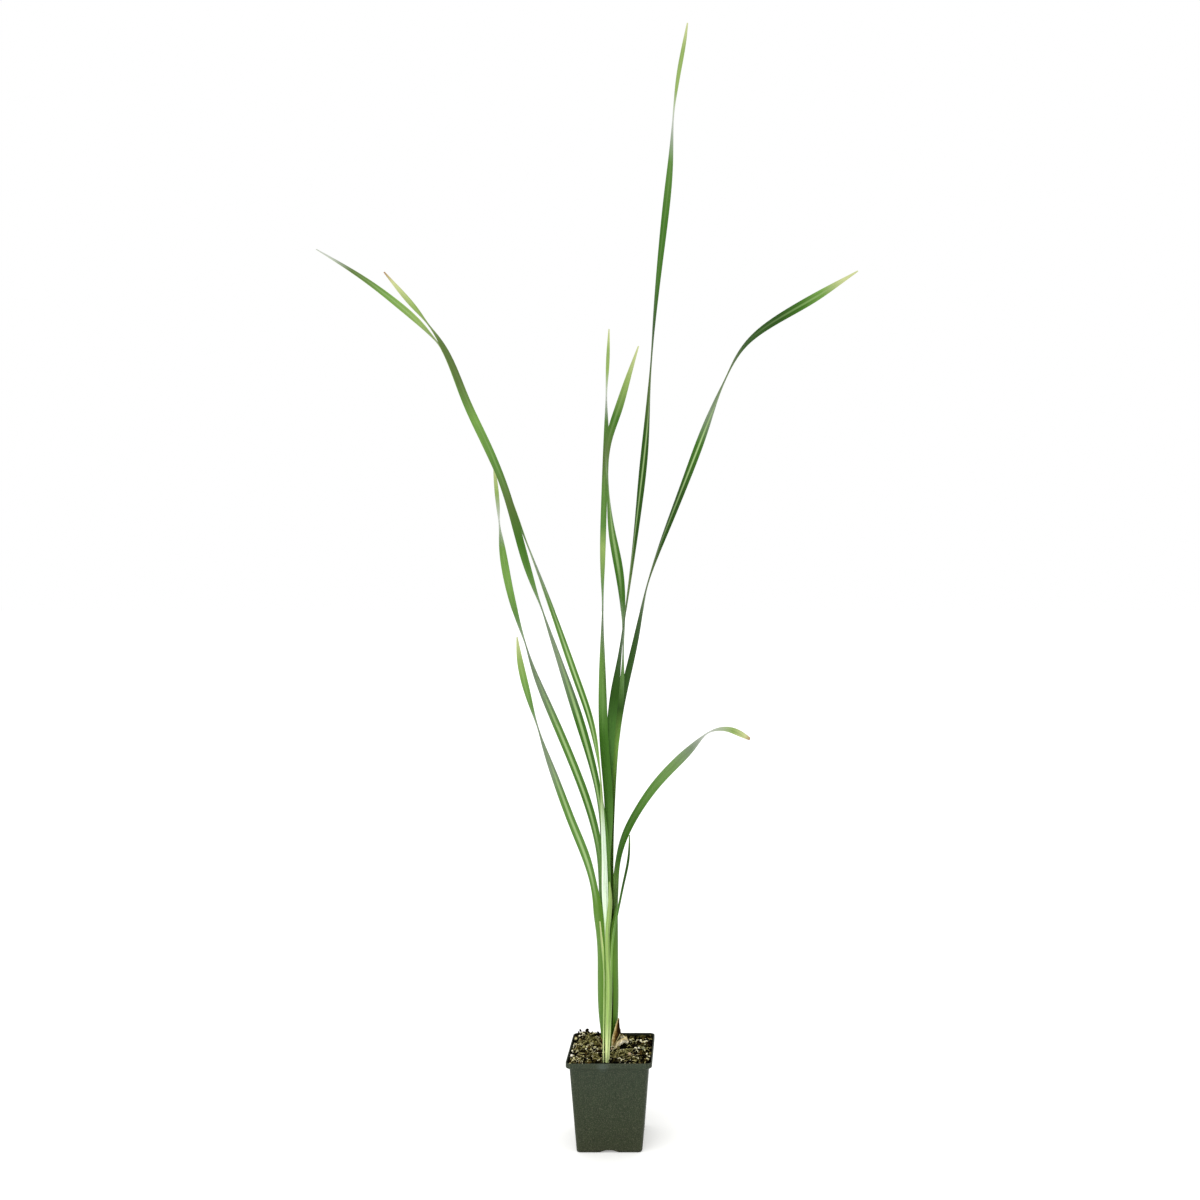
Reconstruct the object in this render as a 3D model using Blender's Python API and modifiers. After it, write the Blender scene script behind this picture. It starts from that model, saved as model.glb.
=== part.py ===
"""A young cattail in a small square nursery pot. Metres, +Z up, origin under the middle of the pot."""

import math

import bmesh
import bpy
import numpy as np
from mathutils import Vector, noise

# Pot: a 3.5 inch square nursery pot with a stepped rim.
RIM_SIZE = 0.089
BODY_TOP_SIZE = 0.0816
BASE_SIZE = 0.068
POT_HEIGHT = 0.096
RIM_BAND = 0.005
RIM_STEP = 0.003
WALL = 0.0012
CORNER_RADIUS = 0.0045
FOOT_RADIUS = 0.0018
NOTCH_WIDTH = 0.021
NOTCH_HEIGHT = 0.003
NOTCH_DEPTH = 0.012

# Potting mix: clear of the wall and of the plants by a small gap, and nearly level with the rim.
GAP = 0.0004
MIX_LEVEL = 0.0938
MIX_FOOT = WALL + GAP
MIX_CELLS = 14
MIX_CORNER_RADIUS = 0.0060
MIX_EDGE_LEVEL = 0.0922
MIX_STEP_LEVEL = 0.0920
# Mossy hummocks on it: x, y, radius and height.
HUMMOCKS = [
    (0.0105, -0.0140, 0.0100, 0.0030),
    (0.0215, -0.0030, 0.0070, 0.0010),
    (-0.0240, 0.0260, 0.0085, 0.0016),
    (0.0330, 0.0090, 0.0075, 0.0010),
    (0.0300, -0.0250, 0.0065, 0.0008),
]

# Each shoot stands in a pocket of the mix.
POCKET_FLOOR = 0.060
POCKET_DEPTH = 0.060
REAR_POCKET_RADIUS = 0.0109
FRONT_POCKET_RADIUS = 0.0045

# Shoots: the line that the sheaths wrap round, as x, y, z and the girth there against full girth.
REAR_SHOOT = [
    (-0.0035, 0.0180, 0.062, 0.66),
    (-0.0035, 0.0180, 0.094, 0.66),
    (-0.0036, 0.0180, 0.106, 0.74),
    (-0.0038, 0.0180, 0.118, 0.85),
    (-0.0041, 0.0180, 0.140, 0.95),
    (-0.0048, 0.0180, 0.190, 0.99),
    (-0.0053, 0.0180, 0.230, 1.00),
    (-0.0050, 0.0180, 0.300, 1.00),
    (-0.0050, 0.0180, 0.380, 1.00),
]
FRONT_SHOOT = [
    (-0.0034, -0.0305, 0.066, 0.66),
    (-0.0034, -0.0325, 0.092, 0.68),
    (-0.0030, -0.0290, 0.118, 0.80),
    (-0.0024, -0.0205, 0.155, 0.95),
    (-0.0034, -0.0120, 0.195, 1.00),
    (-0.0052, -0.0045, 0.235, 1.00),
    (-0.0060, -0.0010, 0.262, 1.00),
]

# Leaves.
BLADE_THICKNESS = 0.0017
REAR_SHEATH_THICKNESS = 0.0006
FRONT_SHEATH_THICKNESS = 0.0005
TIP_THICKNESS = 0.0007
BLADE_CUP = 16
COLLAR_CUP = 45

# Each leaf has a sheath and a blade. The sheath is an arc round its shoot: its radius at full girth,
# the side that its back faces in degrees from +X, its width there, and the heights it spans. The
# blade is a list of stations: x, y, z, width, and its turn about its own line in degrees, where 0
# and 180 show a face to the front.
LEAVES = {
    "leaf_left_low": {
        "shoot": "rear", "radius": 0.0120, "back": 225, "sheath_width": 0.0260, "sheath_top": 0.205,
        "segments": 6, "rows": 26,
        "blade": [
            (-0.0165, 0.0060, 0.2500, 0.0100, -20),
            (-0.0263, 0.0020, 0.2949, 0.0090, -8),
            (-0.0405, -0.0015, 0.3325, 0.0088, 10),
            (-0.0580, -0.0060, 0.3810, 0.0086, 40),
            (-0.0725, -0.0110, 0.4240, 0.0082, 82),
            (-0.0818, -0.0150, 0.4559, 0.0080, 125),
            (-0.0900, -0.0195, 0.4880, 0.0076, 168),
            (-0.0943, -0.0220, 0.5100, 0.0058, 190),
            (-0.0964, -0.0260, 0.5328, 0.0014, 200),
        ],
    },
    "leaf_right_low": {
        "shoot": "rear", "radius": 0.01065, "back": 20, "sheath_width": 0.0300, "sheath_top": 0.225,
        "segments": 6, "rows": 26,
        "blade": [
            (0.0034, 0.0265, 0.2680, 0.0100, -45),
            (0.0111, 0.0290, 0.3110, 0.0092, -40),
            (0.0270, 0.0310, 0.3430, 0.0094, -30),
            (0.0500, 0.0350, 0.3745, 0.0100, -15),
            (0.0720, 0.0390, 0.3970, 0.0102, 5),
            (0.0880, 0.0430, 0.4125, 0.0098, 45),
            (0.1051, 0.0480, 0.4262, 0.0092, 90),
            (0.1215, 0.0520, 0.4290, 0.0088, 118),
            (0.1385, 0.0570, 0.4233, 0.0080, 140),
            (0.1497, 0.0600, 0.4168, 0.0034, 150),
        ],
    },
    "leaf_left_middle": {
        "shoot": "rear", "radius": 0.0093, "back": 240, "sheath_width": 0.0180, "sheath_top": 0.245,
        "segments": 6, "rows": 28,
        "blade": [
            (-0.0125, 0.0095, 0.2931, 0.0100, -30),
            (-0.0208, 0.0100, 0.3358, 0.0092, -22),
            (-0.0396, 0.0140, 0.3889, 0.0088, 0),
            (-0.0674, 0.0200, 0.4527, 0.0087, 32),
            (-0.0855, 0.0240, 0.4956, 0.0086, 68),
            (-0.0968, 0.0270, 0.5290, 0.0086, 105),
            (-0.1100, 0.0310, 0.5713, 0.0086, 152),
            (-0.1183, 0.0345, 0.6070, 0.0084, 185),
            (-0.1248, 0.0390, 0.6479, 0.0066, 262),
            (-0.1282, 0.0430, 0.6800, 0.0054, 330),
            (-0.1302, 0.0450, 0.6980, 0.0046, 345),
            (-0.1330, 0.0475, 0.7220, 0.0014, 360),
        ],
    },
    "leaf_left_high": {
        "shoot": "rear", "radius": 0.00795, "back": 240, "sheath_width": 0.0150, "sheath_top": 0.285,
        "segments": 4, "rows": 36,
        "blade": [
            (-0.0118, 0.0095, 0.3450, 0.0100, -40),
            (-0.0316, 0.0060, 0.4327, 0.0096, 0),
            (-0.0519, 0.0020, 0.4969, 0.0094, 52),
            (-0.0710, -0.0025, 0.5545, 0.0090, 90),
            (-0.0900, -0.0070, 0.6120, 0.0085, 160),
            (-0.1095, -0.0125, 0.6830, 0.0081, 200),
            (-0.1313, -0.0170, 0.7389, 0.0078, 205),
            (-0.1499, -0.0210, 0.7801, 0.0072, 205),
            (-0.1711, -0.0270, 0.8311, 0.0064, 215),
            (-0.1850, -0.0300, 0.8532, 0.0058, 262),
            (-0.2085, -0.0375, 0.8820, 0.0056, 345),
            (-0.2298, -0.0450, 0.9072, 0.0014, 360),
        ],
    },
    "leaf_right_high": {
        "shoot": "rear", "radius": 0.0066, "back": 60, "sheath_width": 0.0130, "sheath_top": 0.330,
        "segments": 4, "rows": 38,
        "blade": [
            (0.0006, 0.0268, 0.4093, 0.0100, 10),
            (0.0085, 0.0295, 0.4600, 0.0098, 38),
            (0.0239, 0.0315, 0.5279, 0.0096, 55),
            (0.0352, 0.0340, 0.5820, 0.0092, 88),
            (0.0616, 0.0390, 0.6588, 0.0092, 135),
            (0.0869, 0.0470, 0.7254, 0.0092, 170),
            (0.1065, 0.0540, 0.7780, 0.0088, 230),
            (0.1219, 0.0600, 0.8158, 0.0086, 270),
            (0.1444, 0.0670, 0.8553, 0.0088, 305),
            (0.1840, 0.0740, 0.8880, 0.0096, 350),
            (0.2200, 0.0785, 0.9100, 0.0098, 365),
            (0.2460, 0.0820, 0.9265, 0.0066, 380),
            (0.2732, 0.0860, 0.9441, 0.0014, 385),
        ],
    },
    "leaf_centre_right": {
        "shoot": "rear", "radius": 0.00525, "back": 75, "sheath_width": 0.0110, "sheath_top": 0.350,
        "segments": 4, "rows": 34,
        "blade": [
            (0.0015, 0.0213, 0.4150, 0.0098, 5),
            (0.0070, 0.0210, 0.4560, 0.0095, 38),
            (0.0108, 0.0212, 0.5060, 0.0094, 82),
            (0.0105, 0.0200, 0.5650, 0.0094, 128),
            (0.0067, 0.0180, 0.6035, 0.0094, 170),
            (-0.0005, 0.0150, 0.6450, 0.0092, 222),
            (-0.0047, 0.0120, 0.6950, 0.0092, 272),
            (-0.0032, 0.0085, 0.7421, 0.0092, 322),
            (0.0067, 0.0045, 0.7735, 0.0088, 352),
            (0.0170, -0.0020, 0.8045, 0.0060, 372),
            (0.0292, -0.0110, 0.8386, 0.0014, 385),
        ],
    },
    "leaf_tallest": {
        "shoot": "rear", "radius": 0.0039, "back": 85, "sheath_width": 0.0095, "sheath_top": 0.345,
        "segments": 4, "rows": 46,
        "blade": [
            (-0.0032, 0.0175, 0.4102, 0.0098, -5),
            (0.0010, 0.0148, 0.4600, 0.0097, 10),
            (0.0057, 0.0112, 0.4965, 0.0095, 55),
            (0.0117, 0.0070, 0.5393, 0.0092, 88),
            (0.0205, 0.0040, 0.6030, 0.0090, 112),
            (0.0308, 0.0030, 0.6882, 0.0082, 155),
            (0.0370, 0.0040, 0.7522, 0.0076, 218),
            (0.0415, 0.0060, 0.8200, 0.0074, 268),
            (0.0473, 0.0090, 0.8920, 0.0074, 306),
            (0.0572, 0.0155, 0.9900, 0.0078, 356),
            (0.0622, 0.0200, 1.0450, 0.0072, 405),
            (0.0650, 0.0245, 1.0930, 0.0062, 450),
            (0.0712, 0.0305, 1.1460, 0.0052, 510),
            (0.0774, 0.0350, 1.1820, 0.0038, 530),
            (0.0804, 0.0380, 1.2020, 0.0014, 540),
        ],
    },
    "leaf_centre": {
        "shoot": "rear", "radius": 0.00255, "back": 280, "sheath_width": 0.0085, "sheath_top": 0.290,
        "segments": 4, "rows": 34,
        "blade": [
            (-0.0041, 0.0125, 0.3570, 0.0097, 0),
            (-0.0083, 0.0120, 0.4106, 0.0097, 0),
            (-0.0103, 0.0130, 0.4650, 0.0095, 25),
            (-0.0107, 0.0160, 0.5280, 0.0088, 68),
            (-0.0108, 0.0190, 0.5713, 0.0082, 100),
            (-0.0108, 0.0220, 0.6253, 0.0076, 145),
            (-0.0093, 0.0260, 0.6904, 0.0068, 165),
            (-0.0078, 0.0300, 0.7560, 0.0063, 222),
            (-0.0080, 0.0335, 0.7930, 0.0058, 270),
            (-0.0068, 0.0380, 0.8330, 0.0048, 325),
            (-0.0057, 0.0420, 0.8684, 0.0014, 340),
        ],
    },
    "leaf_left_far": {
        "shoot": "front", "radius": 0.0021, "back": 250, "sheath_width": 0.0066, "sheath_top": 0.225,
        "segments": 4, "rows": 42,
        "blade": [
            (-0.0068, -0.0010, 0.2790, 0.0078, 42),
            (-0.0087, 0.0000, 0.3272, 0.0078, 62),
            (-0.0120, 0.0010, 0.3850, 0.0076, 98),
            (-0.0225, 0.0020, 0.4437, 0.0075, 160),
            (-0.0370, 0.0030, 0.4860, 0.0075, 188),
            (-0.0600, 0.0050, 0.5500, 0.0074, 228),
            (-0.0858, 0.0080, 0.6185, 0.0074, 268),
            (-0.1098, 0.0105, 0.6783, 0.0074, 318),
            (-0.1390, 0.0140, 0.7430, 0.0074, 340),
            (-0.1590, 0.0170, 0.7864, 0.0070, 370),
            (-0.1838, 0.0210, 0.8410, 0.0068, 440),
            (-0.2314, 0.0280, 0.8902, 0.0074, 535),
            (-0.2660, 0.0340, 0.9170, 0.0058, 548),
            (-0.3000, 0.0400, 0.9397, 0.0034, 560),
            (-0.3280, 0.0460, 0.9570, 0.0012, 568),
        ],
    },
    "leaf_thin": {
        "shoot": "front", "radius": 0.0047, "back": 350, "sheath_width": 0.0060, "sheath_top": 0.160,
        "segments": 3, "rows": 18,
        "blade": [
            (0.0010, -0.0150, 0.1900, 0.0030, 60),
            (0.0031, -0.0120, 0.2200, 0.0024, 30),
            (0.0085, -0.0105, 0.2490, 0.0024, 20),
            (0.0141, -0.0110, 0.2762, 0.0026, 10),
            (0.0184, -0.0115, 0.2975, 0.0026, 0),
            (0.0198, -0.0120, 0.3242, 0.0012, 0),
        ],
    },
    "leaf_bud_right": {
        "shoot": "front", "radius": 0.0036, "back": 300, "sheath_width": 0.0054, "sheath_top": 0.225,
        "segments": 3, "rows": 14,
        "blade": [
            (-0.0008, -0.0070, 0.2541, 0.0042, 10),
            (-0.0017, -0.0065, 0.2737, 0.0012, 10),
        ],
    },
    "leaf_bud_left": {
        "shoot": "front", "radius": 0.0047, "back": 190, "sheath_width": 0.0060, "sheath_top": 0.190,
        "segments": 3, "rows": 12,
        "blade": [
            (-0.0098, -0.0095, 0.2130, 0.0030, -40),
            (-0.0117, -0.0075, 0.2322, 0.0014, -40),
        ],
    },
}

# Dead strips at the foot of the rear shoot: stations as on a blade, each with its cup in degrees.
DRY_STRIPS = {
    "dry_sheath_right": [
        (0.0042, 0.0090, 0.0950, 0.0110, 45, 85),
        (0.0050, 0.0091, 0.1010, 0.0118, 45, 80),
        (0.0060, 0.0094, 0.1060, 0.0120, 42, 70),
        (0.0059, 0.0094, 0.1120, 0.0084, 42, 50),
        (0.0062, 0.0096, 0.1180, 0.0052, 45, 30),
        (0.0071, 0.0099, 0.1241, 0.0012, 45, 10),
    ],
    "dry_sheath_left": [
        (-0.0108, 0.0060, 0.0950, 0.0042, -40, 40),
        (-0.0134, 0.0050, 0.0994, 0.0034, -40, 30),
        (-0.0178, 0.0032, 0.1068, 0.0010, -40, 10),
    ],
    "dry_leaf_scrap": [
        (0.0075, 0.0225, 0.0960, 0.0046, 10, 40),
        (0.0095, 0.0200, 0.0990, 0.0060, 15, 60),
        (0.0125, 0.0165, 0.0998, 0.0060, 20, 60),
        (0.0155, 0.0135, 0.0972, 0.0036, 20, 40),
    ],
}
DRY_THICKNESS = 0.0006

LEAF_GREEN = (0.075, 0.170, 0.045)
LIGHT_GREEN = (0.230, 0.370, 0.120)
DRY_TAN = (0.390, 0.260, 0.120)
DRY_BROWN = (0.130, 0.060, 0.030)
POT_GREEN = (0.045, 0.062, 0.048)
MIX_BROWN = (0.075, 0.062, 0.038)


def new_collection(name):
    collection = bpy.data.collections.new(name)
    bpy.context.scene.collection.children.link(collection)
    return collection


def plain_material(name, colour, roughness):
    material = bpy.data.materials.new(name)
    material.use_nodes = True
    shader = material.node_tree.nodes["Principled BSDF"]
    shader.inputs["Base Color"].default_value = (*colour, 1.0)
    shader.inputs["Roughness"].default_value = roughness
    shader.inputs["Metallic"].default_value = 0.0
    material.diffuse_color = (*colour, 1.0)
    return material


def object_from(bm, name, collection, material=None):
    mesh = bpy.data.meshes.new(name)
    bm.to_mesh(mesh)
    bm.free()
    if material:
        mesh.materials.append(material)
        mesh.shade_smooth()
        mesh.set_sharp_from_angle(angle=math.radians(40))
    obj = bpy.data.objects.new(name, mesh)
    collection.objects.link(obj)
    return obj


def smooth_through(stations, count):
    """Rows at even steps along one smooth curve through the stations, with all their other values."""
    values = np.array(stations, float)
    steps = np.linalg.norm(np.diff(values[:, :3], axis=0), axis=1)
    knots = np.concatenate([[0.0], np.cumsum(steps)])
    size = len(knots)
    system = np.eye(size)
    right_side = np.zeros_like(values)
    slopes = np.diff(values, axis=0) / steps[:, None]
    for i in range(1, size - 1):
        system[i, i - 1 : i + 2] = steps[i - 1], 2 * (steps[i - 1] + steps[i]), steps[i]
        right_side[i] = 6 * (slopes[i] - slopes[i - 1])
    bend = np.linalg.solve(system, right_side)
    rows = []
    for t in np.linspace(0.0, knots[-1], count):
        i = min(int(np.searchsorted(knots, t, side="right")) - 1, size - 2)
        step, after, before = steps[i], t - knots[i], knots[i + 1] - t
        rows.append(
            bend[i] * before**3 / (6 * step)
            + bend[i + 1] * after**3 / (6 * step)
            + (values[i] / step - bend[i] * step / 6) * before
            + (values[i + 1] / step - bend[i + 1] * step / 6) * after
        )
    return np.array(rows)


def sheath_stations(leaf, thickness):
    """Stations of the arc that a leaf's foot makes round its shoot, from the pocket's floor up."""
    line = np.array(REAR_SHOOT if leaf["shoot"] == "rear" else FRONT_SHOOT)
    back = math.radians(leaf["back"])
    behind = math.sin(back) > 0
    turn = leaf["back"] - (90 if behind else 270)
    foot, top = line[0, 2], leaf["sheath_top"]
    heights = [foot + share * (top - foot) for share in (0.0, 0.35, 0.7, 1.0)]
    if leaf["shoot"] == "rear":
        # The rear shoot is thinner at its foot, so its sheaths follow each of its lowest stations.
        heights = [*line[:4, 2], (line[3, 2] + top) / 2, top]
    stations = []
    for z in heights:
        x, y, girth = (np.interp(z, line[:, 2], line[:, k]) for k in (0, 1, 3))
        radius = leaf["radius"] * girth
        width = leaf["sheath_width"] * girth
        cup = math.degrees(width / radius) * (-1 if behind else 1)
        place = x + radius * math.cos(back), y + radius * math.sin(back), z
        stations.append((*place, width, turn, cup, thickness))
    return stations


def blade_stations(leaf, side):
    """Stations of the blade, cupped at its collar and thin at its tip."""
    last = len(leaf["blade"]) - 1
    stations = []
    for i, station in enumerate(leaf["blade"]):
        cup = side * (COLLAR_CUP if i == 0 else BLADE_CUP)
        stations.append((*station, cup, TIP_THICKNESS if i == last else BLADE_THICKNESS))
    return stations


def strip(name, stations, count, segments, collection, material):
    """A leaf: a flat grid bent along its stations into arcs across, then given its thickness."""
    rows = smooth_through(stations, count)
    thickest = max(rows[:, 6])
    along = np.gradient(rows[:, :3], axis=0)
    bm = bmesh.new()
    bmesh.ops.create_grid(bm, x_segments=segments, y_segments=count - 1, size=0.5)
    weights = {}
    for vertex in bm.verts:
        row = round((vertex.co.y + 0.5) * (count - 1))
        share = vertex.co.x
        weights[vertex.index] = rows[row, 6] / thickest
        tangent = Vector(along[row]).normalized()
        level = Vector((0.0, 1.0, 0.0)).cross(tangent).normalized()
        deep = tangent.cross(level)
        turn = math.radians(rows[row, 4])
        across = level * math.cos(turn) + deep * math.sin(turn)
        normal = tangent.cross(across)
        width, cup = max(float(rows[row, 3]), 0.0008), math.radians(rows[row, 5])
        if abs(cup) < 0.01:
            offset = across * width * share
        else:
            radius = width / cup
            angle = share * cup
            offset = radius * (across * math.sin(angle) + normal * (1 - math.cos(angle)))
        vertex.co = Vector(rows[row, :3]) + offset
    bmesh.ops.recalc_face_normals(bm, faces=bm.faces)
    leaf = object_from(bm, name, collection, material)
    group = leaf.vertex_groups.new(name="thickness")
    for index, weight in weights.items():
        group.add([index], weight, "REPLACE")
    solidify = leaf.modifiers.new("Thickness", "SOLIDIFY")
    solidify.thickness = thickest
    solidify.offset = 0.0
    solidify.vertex_group = group.name
    return leaf


def rounded_square(bm, size, height, radius, segments=5):
    """A square block with its four upright edges rounded, standing on z = 0."""
    bmesh.ops.create_cube(bm, size=1.0)
    for vertex in bm.verts:
        vertex.co = vertex.co.x * size, vertex.co.y * size, (vertex.co.z + 0.5) * height
    upright = [e for e in bm.edges if abs(e.verts[0].co.z - e.verts[1].co.z) > height / 2]
    bmesh.ops.bevel(bm, geom=upright, offset=radius, segments=segments, profile=0.5, affect="EDGES")


def flare(vertices, low, high):
    for vertex in vertices:
        vertex.co.x *= high / low
        vertex.co.y *= high / low


def raise_edge(bm, edges, size, new_size, rise):
    """Draws the open top edge up to a new size, and gives the new open edge."""
    made = bmesh.ops.extrude_edge_only(bm, edges=edges)["geom"]
    vertices = [g for g in made if isinstance(g, bmesh.types.BMVert)]
    flare(vertices, size, new_size)
    bmesh.ops.translate(bm, vec=(0.0, 0.0, rise), verts=vertices)
    return [g for g in made if isinstance(g, bmesh.types.BMEdge) and g.is_boundary]


def add_notch_cutters(cutters):
    """Four lying cylinders, each sunk so far that only a low arch stands above the floor."""
    radius = ((NOTCH_WIDTH / 2) ** 2 + NOTCH_HEIGHT**2) / (2 * NOTCH_HEIGHT)
    made = []
    for side in range(4):
        angle = side * math.pi / 2
        bpy.ops.mesh.primitive_cylinder_add(
            vertices=40,
            radius=radius,
            depth=NOTCH_DEPTH,
            location=(
                BASE_SIZE / 2 * math.sin(angle),
                -BASE_SIZE / 2 * math.cos(angle),
                NOTCH_HEIGHT - radius,
            ),
            rotation=(math.pi / 2, 0.0, angle),
        )
        made.append(move_to_cutters(bpy.context.object, f"notch_cutter_{side + 1}", cutters))
    return made


def move_to_cutters(cutter, name, cutters):
    cutter.name = name
    for collection in list(cutter.users_collection):
        collection.objects.unlink(cutter)
    cutters.objects.link(cutter)
    cutter.hide_render = True
    cutter.display_type = "WIRE"
    return cutter


def cut(target, cutter):
    boolean = target.modifiers.new(cutter.name, "BOOLEAN")
    boolean.operation = "DIFFERENCE"
    boolean.object = cutter


def make_pot(collection, cutters):
    bm = bmesh.new()
    body_top = POT_HEIGHT - RIM_BAND - RIM_STEP
    rounded_square(bm, BASE_SIZE, body_top, CORNER_RADIUS)
    top = [v for v in bm.verts if v.co.z > body_top / 2]
    flare(top, BASE_SIZE, BODY_TOP_SIZE)
    bmesh.ops.delete(bm, geom=[f for f in bm.faces if f.normal.z > 0.9], context="FACES")
    foot = [e for e in bm.edges if max(v.co.z for v in e.verts) < 1e-6]
    bmesh.ops.bevel(bm, geom=foot, offset=FOOT_RADIUS, segments=3, profile=0.5, affect="EDGES")
    rim = [e for e in bm.edges if e.is_boundary]
    rim = raise_edge(bm, rim, BODY_TOP_SIZE, RIM_SIZE, RIM_STEP)
    raise_edge(bm, rim, RIM_SIZE, RIM_SIZE, RIM_BAND)
    bmesh.ops.recalc_face_normals(bm, faces=bm.faces)
    pot = object_from(bm, "pot", collection, plain_material("pot_plastic", POT_GREEN, 0.45))
    solidify = pot.modifiers.new("Wall", "SOLIDIFY")
    solidify.thickness = WALL
    solidify.offset = -1.0
    solidify.use_even_offset = True
    for cutter in add_notch_cutters(cutters):
        cut(pot, cutter)
    return pot


def in_rounded_square(x, y, half, radius):
    """Draws the corners of a square in to a rounded square."""
    flat = half - radius
    a, b = (abs(x) - flat) / radius, (abs(y) - flat) / radius
    if a <= 0 or b <= 0:
        return x, y
    x = math.copysign(flat + radius * a * math.sqrt(1 - b * b / 2), x)
    y = math.copysign(flat + radius * b * math.sqrt(1 - a * a / 2), y)
    return x, y


def mix_height(x, y):
    """Nearly level, heaped at the back left and low at the back right, with lumps, pits and moss."""
    lumps = 0.0010 * noise.noise(Vector((x, y, 0.0)) * 130)
    grit = 0.0006 * noise.noise(Vector((x, y, 0.5)) * 320)
    heap = 0.0045 * math.exp(-((x + 0.030) ** 2 + (y - 0.034) ** 2) / 0.012**2)
    dip = 0.0016 * math.exp(-((x - 0.030) ** 2 + (y - 0.034) ** 2) / 0.018**2)
    moss = sum(h * math.exp(-(((x - u) ** 2 + (y - v) ** 2) / r**2) ** 1.5) for u, v, r, h in HUMMOCKS)
    return MIX_LEVEL + lumps + grit + heap - dip + moss


def make_mix(collection, cutters):
    inner_base = BASE_SIZE / 2 - WALL - GAP - FOOT_RADIUS / 2
    inner_top = BODY_TOP_SIZE / 2 - WALL - GAP
    inner_rim = RIM_SIZE / 2 - WALL - GAP
    bm = bmesh.new()
    bmesh.ops.create_grid(bm, x_segments=MIX_CELLS, y_segments=MIX_CELLS, size=inner_rim)
    for vertex in bm.verts:
        x, y = in_rounded_square(vertex.co.x, vertex.co.y, inner_rim, MIX_CORNER_RADIUS)
        vertex.co = x, y, max(mix_height(x, y), MIX_EDGE_LEVEL)
    rim = [e for e in bm.edges if e.is_boundary]
    for size, new_size, level in (
        (inner_rim, inner_rim, MIX_STEP_LEVEL),
        (inner_rim, inner_top, MIX_STEP_LEVEL - RIM_STEP),
        (inner_top, inner_base, FOOT_RADIUS * 1.5),
        (inner_base, inner_base - FOOT_RADIUS / 2, MIX_FOOT),
    ):
        rim = raise_edge(bm, rim, size, new_size, 0.0)
        for edge in rim:
            for vertex in edge.verts:
                vertex.co.z = level
    bmesh.ops.edgeloop_fill(bm, edges=rim)
    bmesh.ops.recalc_face_normals(bm, faces=bm.faces)
    mix = object_from(bm, "potting_mix", collection, plain_material("potting_mix", MIX_BROWN, 1.0))
    for name, line, radius in (
        ("rear_pocket_cutter", REAR_SHOOT, REAR_POCKET_RADIUS),
        ("front_pocket_cutter", FRONT_SHOOT, FRONT_POCKET_RADIUS),
    ):
        cutter = bmesh.new()
        bmesh.ops.create_cone(
            cutter, cap_ends=True, segments=24, radius1=radius, radius2=radius, depth=POCKET_DEPTH
        )
        for vertex in cutter.verts:
            x, y = line[0][:2] if vertex.co.z < 0 else pocket_mouth(line)
            vertex.co.x += x
            vertex.co.y += y
            vertex.co.z += POCKET_FLOOR + POCKET_DEPTH / 2
        cut(mix, move_to_cutters(object_from(cutter, name, cutters), name, cutters))
    return mix


def pocket_mouth(line):
    """Where the line of a shoot is at the top of its pocket's cutter."""
    (x0, y0, z0, _), (x1, y1, z1, _) = line[:2]
    share = (POCKET_FLOOR + POCKET_DEPTH - z0) / (z1 - z0)
    return x0 + share * (x1 - x0), y0 + share * (y1 - y0)


def make_leaves(collection):
    green = plain_material("leaf_green", LEAF_GREEN, 0.45)
    light = plain_material("leaf_light_green", LIGHT_GREEN, 0.45)
    for name, leaf in LEAVES.items():
        rear = leaf["shoot"] == "rear"
        thickness = REAR_SHEATH_THICKNESS if rear else FRONT_SHEATH_THICKNESS
        foot = sheath_stations(leaf, thickness)
        side = 1 if foot[0][5] > 0 else -1
        stations = foot + blade_stations(leaf, side)
        strip(name, stations, leaf["rows"], leaf["segments"], collection, green if rear else light)


def make_dry_strips(collection):
    tan = plain_material("dry_leaf_tan", DRY_TAN, 0.7)
    brown = plain_material("dry_leaf_brown", DRY_BROWN, 0.7)
    for name, stations in DRY_STRIPS.items():
        stations = [(*station, DRY_THICKNESS) for station in stations]
        strip(name, stations, 8, 3, collection, brown if name == "dry_sheath_right" else tan)


for old in list(bpy.data.objects):
    bpy.data.objects.remove(old, do_unlink=True)
parts = new_collection("potted_cattail")
helpers = new_collection("cutters")
make_pot(parts, helpers)
make_mix(parts, helpers)
make_leaves(parts)
make_dry_strips(parts)
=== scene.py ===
"""A young cattail in a small square nursery pot: every surface and its finish, round the fixed solids."""

import math

import bmesh
import bpy
import numpy as np
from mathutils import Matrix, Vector, noise


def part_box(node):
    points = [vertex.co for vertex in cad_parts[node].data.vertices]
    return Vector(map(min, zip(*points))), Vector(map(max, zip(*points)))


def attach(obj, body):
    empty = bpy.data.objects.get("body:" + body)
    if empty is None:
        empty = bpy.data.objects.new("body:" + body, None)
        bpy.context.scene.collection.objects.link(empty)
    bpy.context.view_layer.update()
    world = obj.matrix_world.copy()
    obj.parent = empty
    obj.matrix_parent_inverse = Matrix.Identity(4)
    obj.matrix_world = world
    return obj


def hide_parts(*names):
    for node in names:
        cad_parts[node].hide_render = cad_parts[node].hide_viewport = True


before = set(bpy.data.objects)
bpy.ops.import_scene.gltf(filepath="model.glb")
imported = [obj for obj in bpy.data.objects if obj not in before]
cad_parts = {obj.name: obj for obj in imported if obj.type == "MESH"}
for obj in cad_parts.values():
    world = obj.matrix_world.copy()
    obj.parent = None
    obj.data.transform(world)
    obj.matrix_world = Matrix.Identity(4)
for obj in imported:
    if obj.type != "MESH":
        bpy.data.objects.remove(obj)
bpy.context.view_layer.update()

# Camera. The picture was taken level, at about half the plant's height and a little to its right.
EYE = (0.0897, -1.277, 0.5713)
FOCAL_MM = 36.09
FRAME_SHIFT = -0.08

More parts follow.
